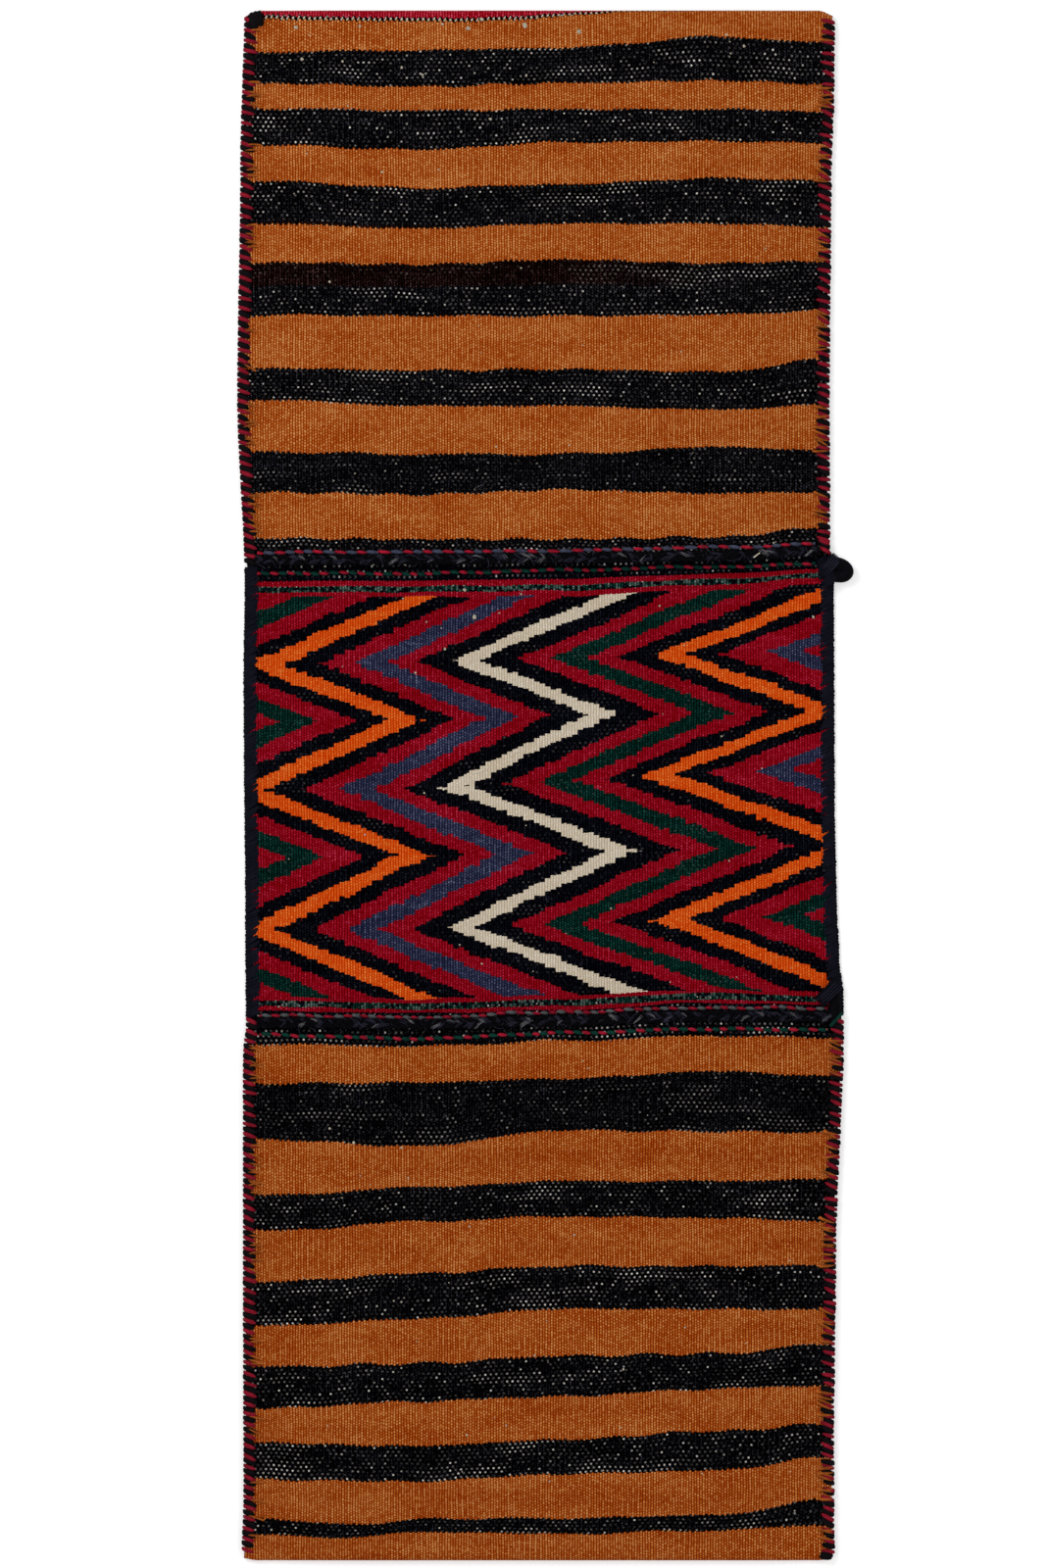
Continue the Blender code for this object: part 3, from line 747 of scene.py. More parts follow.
def bare_spots(shade, cloth, u, s, dark):
    """Ivory warp that shows between dark wefts: bright in drifts, and rare or faint elsewhere."""
    shifted = s + shade.noise(shade.place(u, s, 9.0), 40.0) * 0.0012
    line = shade.math("FLOOR", shifted / cloth.dot_row)
    sideways = u / cloth.dot_pitch + shade.math("FLOORED_MODULO", line, 2.0) * 0.5
    spot = shade.math("FLOOR", sideways)
    off_x = (sideways - spot - 0.5) * (cloth.dot_pitch / MM)
    off_y = (shifted / cloth.dot_row - line - 0.5) * (cloth.dot_row / MM)
    luck = shade.chance(shade.place(spot, line, 3.0))
    other_luck = shade.chance(shade.place(spot, line, 8.0))
    disc = shade.smooth(off_x ** 2 + off_y ** 2, 0.84, 0.26)
    drift = shade.patches(u * 15, s * 66, 1.0, 2.0)
    showing = shade.smooth(drift, 0.54, 0.66) * (0.08 + luck ** 1.3 * 0.92)
    rare = luck ** 14 * 0.8 + other_luck ** 3 * 0.10
    sound = shade.between(s, UPPER_POCKET - 0.395, UPPER_POCKET - 0.356)
    sound += shade.between(s, END_S - LOWER_POCKET + 0.338, END_S - LOWER_POCKET + 0.394)
    disc = disc * (1 - sound * 0.6)
    return disc * dark * shade.math("MAXIMUM", showing, rare)


def yarn_material(name, color, twist=260.0, ply_shade=0.5, hairy=0.0):
    """Plied wool: slanted plies along the yarn with painted shade in the grooves between them, fibres with
    painted highlights on their tips, and an uneven dye.
    """
    shade = Shading(name, 0.9, 0.04)
    around, along = shade.uv("UVMap")
    ply = shade.math("SINE", (along * twist + around) * math.tau) * 0.5 + 0.5
    if hairy:
        fibres = shade.noise(shade.place(around * 14, along * 60), 4.0, 3.0)
    else:
        fibres = shade.noise(shade.place(around * 3, along * 1500), 3.0, 2.0)
    where = shade.node("ShaderNodeTexCoord", None, None, 3)
    patches = shade.noise(where, 130.0, 1.0)
    # The plies paint shade into the grooves between them; fibres and patches are the wool's own grain and
    # uneven dye
    shaded_dye = (1 - ply_shade) + ply_shade * ply + (fibres - 0.5) * 0.8 + (patches - 0.5) * 0.9
    dyed = shade.scaled(color, shaded_dye)
    # Painted highlights on the tips of the fibres
    tips = shade.smooth(fibres, 0.52, 0.80) * (0.30 - 0.2 * hairy)
    light = tuple(min(part * 2.0 + 0.014, 1.0) for part in color)
    shade.color(shade.mix(tips, dyed, light))
    shade.bump(ply + fibres * 0.8, 0.0004, 0.7)
    return shade.material


def column_x(column, y):
    """X of one of the cloth's columns, counted from the left."""
    edge_columns = len(COLUMN_INSETS)
    last = 2 * edge_columns + MIDDLE_COLUMNS - 1
    if column < edge_columns:
        return bag_edge(LEFT, y) + COLUMN_INSETS[column] * MM
    if column > last - edge_columns:
        return bag_edge(RIGHT, y) - COLUMN_INSETS[last - column] * MM
    start = bag_edge(LEFT, y) + COLUMN_INSETS[-1] * MM
    end = bag_edge(RIGHT, y) - COLUMN_INSETS[-1] * MM
    return start + (end - start) * (column - edge_columns + 1) / (MIDDLE_COLUMNS + 1)


def fold_axis(x, end):
    """Distance from the bag's middle to the axis of an end fold, and the radius of its inside."""
    inset = inset_at(x, end * HALF_LENGTH)
    radius = (FIT + FOLD_FULLNESS * crown(inset)) / 2
    corner = UPPER_CORNER_PULL if end == UPPER else LOWER_CORNER_PULL
    pull = corner * (1 - blend(0, PINCHED, inset))
    return HALF_LENGTH - CLOTH - radius - pull, radius


def wander(seed):
    """A small uneven wave across the cloth, the same for the same seed."""
    dice = random.Random(seed)
    waves = [(dice.uniform(55, 150), dice.uniform(0, math.tau), dice.uniform(0.2, 0.55)) for _ in range(3)]
    return lambda x: MM * sum(size * math.sin(speed * x + start) for speed, start, size in waves)


class Edge:
    """A line across the cloth, with the even distance that it stands for."""

    def __init__(self, heights, seed=0, scale=0.0, sag=0.0, nominal=None):
        self.heights = heights
        self.wave = wander(seed)
        self.scale = scale
        self.sag = sag
        self.nominal = sum(heights) / len(heights) * MM if nominal is None else nominal

    def at(self, x):
        """The line's own distance at X."""
        dip = self.sag * math.exp(-((x - SAG_AT) / SAG_WIDTH) ** 2)
        return across(self.heights, x) + self.wave(x) * self.scale - dip


def spans(edges, spacing):
    """Pairs of neighbouring edges with evenly spaced shares between them; the first line isn't repeated."""
    for first, second in zip(edges, edges[1:]):
        steps = max(round(abs(second.nominal - first.nominal) / spacing), 1)
        for step in range(1, steps + 1):
            yield first, second, step / steps


def face_rows(end, columns):
    """Rows of a pocket's face between its fold and its lip, as (S, points, zigzag phases)."""
    pocket = POCKETS[end]
    fold = Edge((FOLD_AXIS / MM,) * 5)
    edges = [fold]
    for index, heights in enumerate(EDGES[end]):
        sag = SAGS[index] if end == LOWER and index < len(SAGS) else 0.0
        edges.append(Edge(heights, 40 * end + index, 1.0, sag))
    edges.append(Edge([pocket / MM - end * rise for rise in MOUTH_LIFTS[end]], nominal=pocket))
    rows = [(FOLD_AXIS, [fold_point(end, 0, column) for column in range(columns)])]
    for first, second, share in spans(edges, ROW_SPACING):
        depth = first.nominal + (second.nominal - first.nominal) * share
        points = []
        for column in range(columns):
            x = column_x(column, end * (HALF_LENGTH - depth))
            start = first.at(x)
            if first is fold:
                start = HALF_LENGTH - fold_axis(x, end)[0]
            y = end * (HALF_LENGTH - (start + (second.at(x) - start) * share))
            points.append((x, y, face_inner(x, y, end)))
        rows.append((depth, points))
    if end == UPPER:
        return [(pocket - depth, points, None) for depth, points in reversed(rows)]
    return [(LOWER_FACE_S + depth - FOLD_AXIS, points, None) for depth, points in rows]


def fold_point(end, step, column):
    """A point on the inside of an end fold; step 0 is on the face."""
    y = end * HALF_LENGTH
    x = column_x(column, y)
    axis, radius = fold_axis(x, end)
    angle = math.pi * step / FOLD_STEPS
    height = back_top(x, y) + radius * (1 + math.cos(angle))
    return x, end * (axis + radius * math.sin(angle)), height


def fold_rows(end, columns):
    """Rows round an end fold, in the strip's own order."""
    start = UPPER_FOLD_S if end == UPPER else LOWER_FOLD_S
    steps = range(1, FOLD_STEPS) if end == UPPER else range(FOLD_STEPS - 1, 0, -1)
    rows = []
    for place, step in enumerate(steps, 1):
        points = [fold_point(end, step, column) for column in range(columns)]
        rows.append((start + FOLD_ARC * place / FOLD_STEPS, points, None))
    return rows


def hidden_rows(end, columns):
    """Rows of the back layer under a pocket, in the strip's own order, without the lip's."""
    run = POCKETS[end] - FOLD_AXIS
    steps = round(run / HIDDEN_ROW_SPACING)
    rows = []
    for step in range(steps):
        share = step / steps
        points = []
        for column in range(columns):
            y = end * (HALF_LENGTH - FOLD_AXIS - run * share)
            x = column_x(column, y)
            if step == 0:
                y = end * fold_axis(x, end)[0]
            y += across(MOUTH_LIFTS[end], x) * blend(0.8, 1.0, share)
            points.append((x, y, back_top(x, y)))
        along = BACK_S + run * share if end == UPPER else LOWER_FOLD_S - run * share
        rows.append((along, points, None))
    return rows if end == UPPER else rows[::-1]


def bridge_rows(columns):
    """Rows of the bridge from the upper lip to the lower one, with the zigzag's phase at each point."""
    bottom = (UPPER_LIP - LOWER_LIP) / MM
    edges = [Edge([-rise for rise in UPPER_MOUTH_LIFT], nominal=0.0)]
    edges += [Edge(heights, 200 + index, 0.7) for index, heights in enumerate(BRIDGE_EDGES)]
    edges.append(Edge([bottom - rise for rise in LOWER_MOUTH_LIFT], nominal=bottom * MM))
    rows = []
    places = [(edges[0], edges[1], 0.0)] + list(spans(edges, ROW_SPACING))
    for start, end, share in places:
        index = edges.index(start) - 1 + share
        depth = start.nominal + (end.nominal - start.nominal) * share
        points = []
        phases = []
        for column in range(columns):
            x = column_x(column, UPPER_LIP - depth)
            y = UPPER_LIP - (start.at(x) + (end.at(x) - start.at(x)) * share)
            points.append((x, y, back_top(x, y)))
            phases.append(zigzag_phase(x, index - FIRST_TURN))
        rows.append((BRIDGE_S + depth, points, phases))
    return rows


def zigzag_phase(x, turns):
    """-1 on the left orange line, 0 on the ivory one and 1 on the right orange one."""
    turns = min(max(turns, 0.0), len(LINE_MIDDLES) - 1.0)
    index = min(int(turns), len(LINE_MIDDLES) - 2)
    share = turns - index
    pairs = zip(LINE_MIDDLES[index], LINE_MIDDLES[index + 1])
    lines = [(low + (high - low) * share) * MM for low, high in pairs]
    if x < lines[0]:
        return -1 + (x - lines[0]) / LINE_SPACING
    if x > lines[-1]:
        return 1 + (x - lines[-1]) / LINE_SPACING
    return through([(middle, (place - 2) / 2) for place, middle in enumerate(lines)], x)


def make_cloth(settings):
    """The woven strip: a fine grid laid along the strip's path and given its thickness."""
    columns = 2 * len(COLUMN_INSETS) + MIDDLE_COLUMNS
    rows = face_rows(UPPER, columns) + fold_rows(UPPER, columns) + hidden_rows(UPPER, columns)
    rows += bridge_rows(columns)
    rows += hidden_rows(LOWER, columns) + fold_rows(LOWER, columns) + face_rows(LOWER, columns)
    deselect()
    bpy.ops.mesh.primitive_grid_add(x_subdivisions=columns - 1, y_subdivisions=len(rows) - 1, size=2)
    cloth = bpy.context.active_object
    cloth.name = "kilim_cloth"
    mesh = cloth.data
    weave = mesh.uv_layers[0]
    weave.name = "weave"
    zigzag = mesh.uv_layers.new(name="zigzag")
    marks = []
    for vertex in mesh.vertices:
        column = round((vertex.co.x + 1) / 2 * (columns - 1))
        s, points, phases = rows[round((vertex.co.y + 1) / 2 * (len(rows) - 1))]
        vertex.co = points[column]
        marks.append((vertex.co.x + HALF_WIDTH, s, phases[column] if phases else 0.0))
    for loop in mesh.loops:
        u, s, phase = marks[loop.vertex_index]
        weave.data[loop.index].uv = (u, s)
        zigzag.data[loop.index].uv = (phase, s)
    activate(cloth)
    wall = cloth.modifiers.new("wall", "SOLIDIFY")
    wall.thickness = CLOTH
    wall.offset = 1.0
    bpy.ops.object.modifier_apply(modifier=wall.name)
    bpy.ops.object.shade_smooth_by_angle(angle=math.radians(50))
    painted(cloth, weave_material(settings))
    finished(cloth, "kilim_wool", "kilim_strip")


def side_stitch(name, reach, top, radius, width):
    """One overcast stitch on the left edge, wide and flat: out of the cloth, over the edge and under it."""
    drop = 0.0036
    # Shares of the reach, and heights
    path = (
        (1.0, top - 0.0016), (0.88, top - 0.0002), (0.64, top + 0.0003), (0.34, top), (0.14, top - 0.0010),
        (0.08, top * 0.55), (0.14, 0.0016), (0.34, 0.0010), (0.85, 0.0010),
    )
    points = [(share * reach, drop / width * (0.5 - share), height) for share, height in path]
    shares = (0.30, 0.72, 1.0, 1.06, 0.95, 0.9, 0.8, 0.7, 0.5)
    stitch = yarn(name, points, radius, 2, shares)
    stitch.data.transform(stretch(1, width, 1))
    return stitch


def lay_stitches(template, side, places, dice, lean):
    """Copies of a left-hand stitch at Y places along an edge; a half turn puts them on the right."""
    copies = []
    for y in places:
        matrix = turn(dice.uniform(-lean, lean))
        matrix = matrix @ stretch(dice.uniform(0.88, 1.10), dice.uniform(0.85, 1.12), 1)
        if side == RIGHT:
            matrix = turn(math.pi) @ matrix
        copies.append(copied(template, move(bag_edge(side, y) + side * OVERHANG, y, 0) @ matrix))
    return copies


def on_dark_band(end, x, y):
    """Whether a place on a pocket's face is in one of the dark bands."""
    depth = HALF_LENGTH - end * y
    return sum(across(heights, x) < depth for heights in EDGES[end]) % 2 == 1


def make_seams(settings):
    """The four side seams: single red and black stitches, and tufts of the bands' weft between them."""
    wools = yarn_wools(settings)
    reach = settings.stitch_reach
    red = painted(side_stitch("red_stitch", reach, top=0.0072, radius=0.00088, width=2.0), wools["red"])
    dark = painted(side_stitch("dark_stitch", reach, top=0.0069, radius=0.00098, width=2.5), wools["dark"])
    path = (
        (0.0165, -0.0008, 0.0060), (0.0135, 0.0, 0.0074), (0.0090, 0.0006, 0.0081), (0.0045, 0.0012, 0.0076),
    )
    tuft = painted(yarn("tuft", path, 0.00095, 1, (1.0, 1.0, 0.80, 0.12)), wools["tuft"])
    path = (
        (0.0134, -0.0010, 0.0056), (0.0112, 0.0, 0.0076), (0.0070, 0.0007, 0.0084), (0.0018, 0.0016, 0.0074),
    )
    long_tuft = painted(yarn("long_tuft", path, 0.00125, 1, (1.0, 1.0, 0.75, 0.12)), wools["tuft"])
    dice = random.Random(11)
    for end, word in ENDS:
        for side, hand in SIDES:
            node = "seam_" + word + "_" + hand
            low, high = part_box(node)
            start = low.y - (LASHED_REACH if (end, side) == (LOWER, RIGHT) else 0)
            stop = high.y + (LASHED_REACH if (end, side) == (UPPER, LEFT) else 0)
            count = round((stop - start) / settings.stitch_spacing)
            pitch = (stop - start) / count
            shake = 0.0004 if side == LEFT else 0.0008
            lean = 0.10 if side == LEFT else 0.22
            places = [start + pitch * (index + 0.5) + dice.uniform(-shake, shake) for index in range(count)]
            if end == UPPER:
                places.reverse()
            stitches = lay_stitches(red, side, places[0::2], dice, lean)
            stitches += lay_stitches(dark, side, places[1::2], dice, lean)
            tufted = [y + pitch * 0.5 for y in places if dice.random() < TUFT_SHARE]
            inner = bag_edge(side, 0) - side * 0.014
            tufted = [y for y in tufted if abs(y) < TUFT_LIMIT and not on_dark_band(end, inner, y)]
            stitches += lay_stitches(tuft if side == LEFT else long_tuft, side, tufted, dice, 0.4)
            finished(joined(node + "_stitches", stitches), "seam_wool", node)
    remove(red, dark, tuft, long_tuft)


def make_selvedges(settings):
    """Tight turns of navy wool round both edges of the bridge."""
    wools = yarn_wools(settings)
    path = (
        (0.0112, 0.0024), (0.0100, 0.0038), (0.0060, 0.0044), (0.0024, 0.0041),
        (0.0008, 0.0026), (0.0018, 0.0010), (0.0050, 0.0008), (0.0100, 0.0008),
    )
    points = [(x, 0.0032 * (x / 0.010 - 0.5), z) for x, z in path]
    template = yarn("selvedge_turn", points, 0.00080, 1, (0.9, 1, 1, 1, 1, 1, 0.9, 0.8))
    template.data.transform(stretch(1, 1.85, 1))
    painted(template, wools["navy"])
    dice = random.Random(12)
    for side, hand in SIDES:
        node = "selvedge_" + hand
        low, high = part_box(node)
        count = round((high.y - low.y) / settings.selvedge_spacing)
        places = [low.y + (high.y - low.y) * (index + 0.5) / count for index in range(count)]
        turns = lay_stitches(template, side, places, dice, 0.12)
        core = [(bag_edge(side, y) - side * 0.0012, y, 0.0026) for y in places]
        turns.append(painted(yarn("selvedge_core", core, 0.0016, 2), wools["dark"]))
        finished(joined(node + "_overcasting", turns), "selvedge_wool", node)
    remove(template)


def make_lashings(settings):
    """Dark lashings at the upper left and the lower right corner: turns that fan out over the corner."""
    wools = yarn_wools(settings)
    template = side_stitch("lashing_turn", 0.0125, top=0.0074, radius=0.00115, width=2.3)
    painted(template, wools["dark"])
    # Each turn's inset from the side edge, its distance from the fold, and its angle
    five_turns = (
        (0.0002, 0.0080, -0.52), (0.0008, 0.0056, -0.60), (0.0026, 0.0036, -0.68),
        (0.0056, 0.0022, -0.82), (0.0088, 0.0012, -1.0),
    )
    two_turns = ((0.0012, 0.0066, 0.34), (0.0024, 0.0050, 0.40))
    fans = (("upper", LEFT, UPPER, five_turns), ("lower", RIGHT, LOWER, two_turns))
    for word, side, end, fan in fans:
        node = "corner_lashing_" + word
        turns = []
        for inset, depth, angle in fan:
            y = end * (HALF_LENGTH - depth)
            spin = turn(angle) @ stretch(1 if side == LEFT else 0.75, 1, 1)
            if side == RIGHT:
                spin = turn(math.pi) @ spin
            turns.append(copied(template, move(bag_edge(side, y) - side * inset, y, 0) @ spin))
        finished(joined(node + "_turns", turns), "goat_hair", node)
    remove(template)


def twined_row(name, node, slot, end, offsets, pitch, wools, seed):
    """Two yarns twisted round each other along a mouth: each shows as a row of ovals where it comes up."""
    wave = wander(seed)
    low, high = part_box(node)
    steps = round((high.x - low.x) / pitch) * TURN_STEPS
    strands = []
    for strand, (wool, swell) in enumerate(zip(wools, (0.88, 1.0))):
        points = []
        shares = []
        for step in range(steps + 1):
            x = low.x + (high.x - low.x) * step / steps
            turns = (x - low.x) / pitch + 0.10 * math.sin(47 * x + seed) + 0.06 * math.sin(131 * x)
            angle = math.tau * turns + math.pi * strand
            up = math.cos(angle)
            y = lip(end, x) + end * across(offsets, x) + wave(x) * 0.7 - 0.0004 * math.sin(angle)
            points.append((x, y, (surface(x, y) - 0.0003 + 0.0008 * up) / FLATNESS))
            shares.append(0.22 + 0.80 * max(up, 0.0) ** 0.5)
        line = yarn(name, points, 0.00172 * swell, 1, shares)
        line.data.transform(stretch(1, 1, FLATNESS))
        strands.append(painted(line, wool))
    finished(joined(name, strands), slot, node)


def make_twining(settings):
    """A twined row on each lip, beside the braid, and one on the bridge beside each mouth."""
    wools = yarn_wools(settings)
    rows = (
        ("lip_upper", "red_slate", UPPER, UPPER_LIP_ROW, settings.wide_twist, "twined_slate"),
        ("bridge_upper", "red_green", UPPER, UPPER_BRIDGE_ROW, settings.tight_twist, "twined_green"),
        ("bridge_lower", "red_grey", LOWER, LOWER_BRIDGE_ROW, settings.tight_twist, "twined_grey"),
        ("lip_lower", "red_green", LOWER, LOWER_LIP_ROW, settings.tight_twist, "twined_green"),
    )
    for seed, (word, slot, end, offsets, pitch, second) in enumerate(rows, 3):
        pair = (wools["twined_red"], wools[second])
        twined_row("twined_" + word, "twining_" + word, "twining_" + slot, end, offsets, pitch, pair, seed)


def make_braids(settings):
    """A flat three-strand braid of goat hair on each lip, with tufts of loose hairs over it."""
    wools = yarn_wools(settings)
    dice = random.Random(14)
    path = [
        (-0.004 + 0.002 * step, 0.0005 * math.sin(step * 0.8), 0.0006 * math.sin(step * 0.78))
        for step in range(5)
    ]
    hairs = []
    for word in ("loose_hair", "grey_hair"):
        hairs.append(painted(yarn("hair", path, 0.00016, 0, (0.5, 1, 1, 1, 0.4)), wools[word]))
    for end, word in ENDS:
        node = "mouth_braid_" + word
        low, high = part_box(node)
        steps = round((high.x - low.x) / settings.braid_turn) * TURN_STEPS
        pieces = []
        for strand in range(3):
            points = []
            for step in range(steps + 1):
                x = low.x - 0.002 + (high.x - low.x + 0.004) * step / steps
                angle = math.tau * (step / TURN_STEPS + strand / 3)
                y = lip(end, x) + end * BRAID_MIDDLE
                z = face_inner(x, y + end * 0.003, end) + CLOTH + 0.0012 + 0.0006 * math.sin(2 * angle)
                points.append((x, y + 0.0028 * math.sin(angle), z))
            pieces.append(painted(yarn("strand", points, 0.0017, 2), wools["hair"]))
        for _ in range(WISPS):
            middle = dice.uniform(low.x, high.x)
            half = dice.choice((-1, 1))
            lean = dice.gauss(-0.62, 0.16) * half
            # About a fifth of the wisps are pale grey hairs: painted highlights on the dark goat hair
            template = hairs[dice.random() < 0.22]
            size = dice.uniform(0.55, 1.05)
            for hair in range(dice.randint(3, 8)):
                x = middle + hair * 0.00042 + dice.uniform(-0.0002, 0.0002)
                y = lip(end, x) + end * BRAID_MIDDLE + half * 0.0016 + dice.gauss(0, 0.0005)
                z = face_inner(x, y + end * 0.004, end) + CLOTH + dice.uniform(0.0024, 0.0032)
                spin = turn(lean + dice.gauss(0, 0.10)) @ turn(dice.uniform(-0.5, 0.5), "X")
                stretched = stretch(size * dice.uniform(0.8, 1.15), 1, 1)
                pieces.append(copied(template, move(x, y, z) @ spin @ stretched))
        for _ in range(LOOSE_HAIRS):
            x = dice.uniform(low.x, high.x)
            y = lip(end, x) + end * BRAID_MIDDLE + dice.gauss(0, 0.0028)
            z = face_inner(x, y + end * 0.004, end) + CLOTH + dice.uniform(0.0018, 0.0034)
            spin = turn(dice.gauss(-0.5, 0.6)) @ turn(dice.uniform(0, math.tau), "X")
            pieces.append(copied(hairs[0], move(x, y, z) @ spin @ stretch(dice.uniform(0.6, 1.4), 2.0, 1)))
        finished(joined(node + "_hair", pieces), "goat_hair", node)
    remove(*hairs)


def smoothed(thing):
    """Rounds a coarse mesh off."""
    activate(thing)
    rounding = thing.modifiers.new("rounding", "SUBSURF")
    rounding.levels = 2
    bpy.ops.object.modifier_apply(modifier=rounding.name)


def strand_bundle(start, end, count, width, top, radius, wool):
    """Parallel strands from one point over an arch to another, side by side."""
    arch = 0.004
    along = (Vector(end) - Vector(start)).normalized()
    side = Vector((-along.y, along.x))
    strands = []
    for index in range(count):
        shift = side * width * ((index + 0.5) / count - 0.5)
        points = []
        for step in range(9):
            share = step / 8
            flat = Vector(start).lerp(Vector(end), share) + shift
            height = top + arch * (math.sin(math.pi * share) - 1) + 0.0004 * (index % 2)
            points.append((flat.x, flat.y, height))
        strands.append(painted(yarn("bundle", points, radius, 2, (0.6, 0.9, 1, 1, 1, 1, 1, 0.9, 0.6)), wool))
    return strands


def bound_loop(word, core, bundles, wools):
    """A closing loop: its core of hair, rounded off, under bundles of strands."""
    smoothed(core)
    pieces = [core]
    for start, end, count, width, top, radius, wool in bundles:
        pieces += strand_bundle(start, end, count, width, top, radius, wools[wool])
    node = "closing_loop_" + word
    finished(joined(node + "_knot", pieces), "goat_hair", node)


def make_loops(settings):
    """The closing loops at the right-hand ends of both mouths, drawn shut and bound with navy yarn."""
    wools = yarn_wools(settings)
    path = (
        (0.2340, 0.1808, 0.0066), (0.2400, 0.1810, 0.0070), (0.2460, 0.1795, 0.0072),
        (0.2508, 0.1765, 0.0072), (0.2522, 0.1732, 0.0072), (0.2500, 0.1708, 0.0070),
        (0.2455, 0.1704, 0.0068), (0.2390, 0.1706, 0.0064),
    )
    shares = (0.8, 0.92, 1.0, 1.05, 1.08, 1.04, 0.98, 0.85)
    knob = painted(yarn("knob", path, 0.0062, 4, shares), wools["hair"])
    # Where each bundle starts and ends, its strands, width and top, and its yarn's radius and wool
    bundles = (
        ((0.2310, 0.1715), (0.2440, 0.1860), 7, 0.0095, 0.0136, 0.0009, "navy"),
        ((0.2330, 0.1630), (0.2440, 0.1730), 5, 0.0065, 0.0124, 0.0009, "navy"),
        ((0.2318, 0.1718), (0.2446, 0.1858), 4, 0.0080, 0.0146, 0.00025, "loose_hair"),
    )
    bound_loop("upper", knob, bundles, wools)

    path = (
        (0.2400, -0.1560, 0.0046), (0.2415, -0.1640, 0.0054), (0.2420, -0.1740, 0.0058),
        (0.2425, -0.1830, 0.0058), (0.2420, -0.1905, 0.0054), (0.2395, -0.1965, 0.0050),
    )
    mass = painted(yarn("mass", path, 0.0044, 3, (0.55, 0.9, 1.05, 1.1, 1.0, 0.6)), wools["hair"])
    bundles = (
        ((0.2290, -0.1765), (0.2450, -0.1605), 8, 0.0110, 0.0104, 0.0009, "hair"),
        ((0.2296, -0.1762), (0.2452, -0.1608), 5, 0.0100, 0.0114, 0.0006, "navy"),
        ((0.2306, -0.1756), (0.2456, -0.1614), 4, 0.0084, 0.0120, 0.00025, "loose_hair"),
        ((0.2380, -0.1955), (0.2480, -0.1845), 3, 0.0024, 0.0118, 0.0005, "twined_green"),
    )
    bound_loop("lower", mass, bundles, wools)

    stitch_y = 0.1985
    big = side_stitch("big_red_stitch", 0.0088, top=0.0080, radius=0.0011, width=1.7)
    painted(big, wools["red"])
    big.data.transform(move(bag_edge(RIGHT, stitch_y), stitch_y, 0) @ turn(math.pi + 0.1))
    finished(big, "seam_wool")


# Slubs that stand out: X and Y in millimetres, and the size
SLUBS = (
    (-196, 616, 1.6), (-144, 617, 1.3), (-77, 618.5, 1.2), (-56, 615, 1.9), (-45, 622.5, 1.6),
    (-10, 617.5, 2.2), (34, 612.5, 2.1), (-191, 590, 1.5), (-158, 588, 1.1), (-110, 583, 1.2),
    (-93, 577, 1.2), (-126, 498, 1.1), (-38, 541, 1.3), (168, 600.5, 1.3), (-107, 180, 1.4),
    (-133, 179.5, 0.9), (-59, 159, 1.4), (-51, 137, 1.9), (-75, 111, 1.3), (-90, 133, 0.9),
    (-109, 152, 0.9), (-88, 195.5, 0.8), (224.5, 137, 1.2), (192, 197, 0.9), (-80, 500, 0.8),
    (75, 545, 0.8), (-13, 420, 0.8), (100, 380, 0.7), (-93, 330, 0.8), (80, -52, 0.8),
    (-140, -40, 0.8), (-45, -145, 0.9), (60, -100, 0.8), (150, 40, 0.8), (-210, -180, 0.9),
    (-149, -290, 1.2), (-110, -294, 1.0), (-55, -358, 0.9), (30, -365, 0.9), (70, -474, 0.9),
    (120, -440, 0.8), (-42, -498, 0.9), (205, -386, 0.8), (-170, -520, 0.8), (10, -565, 0.8),
)


def make_slubs(settings):
    """Knots and slubs of ivory wool that stand on the cloth, and one loose thread end."""
    wools = yarn_wools(settings)
    deselect()
    bpy.ops.mesh.primitive_uv_sphere_add(segments=10, ring_count=6, radius=0.001)
    slub = bpy.context.active_object
    for vertex in slub.data.vertices:
        vertex.co *= 1 + 0.25 * math.sin(2600 * vertex.co.x + 1) * math.cos(3100 * vertex.co.y)
    bpy.ops.object.shade_smooth()
    slub.data.uv_layers[0].name = "UVMap"
    dice = random.Random(15)
    places = [(x * MM, y * MM, size) for x, y, size in SLUBS]
    for _ in range(SMALL_SLUBS):
        size = min(dice.lognormvariate(-0.5, 0.3), 1.1)
        places.append((dice.uniform(-0.215, 0.215), dice.uniform(-0.61, 0.61), size))
    pieces = []
    for x, y, size in places:
        wide = stretch(size * dice.uniform(0.9, 1.25), size, size * 0.6)
        spin = turn(dice.uniform(0, math.tau)) @ wide
        pieces.append(painted(copied(slub, move(x, y, surface(x, y)) @ spin), wools["ivory"]))
    high = surface(0.178, 0.187) + 0.004
    thread = yarn("thread", ((0.1757, 0.1850, high), (0.1782, 0.1870, high), (0.1807, 0.1888, high)), 0.0005)
    pieces.append(painted(thread, wools["ivory"]))
    finished(joined("ivory_slubs", pieces), "kilim_wool")
    remove(slub)


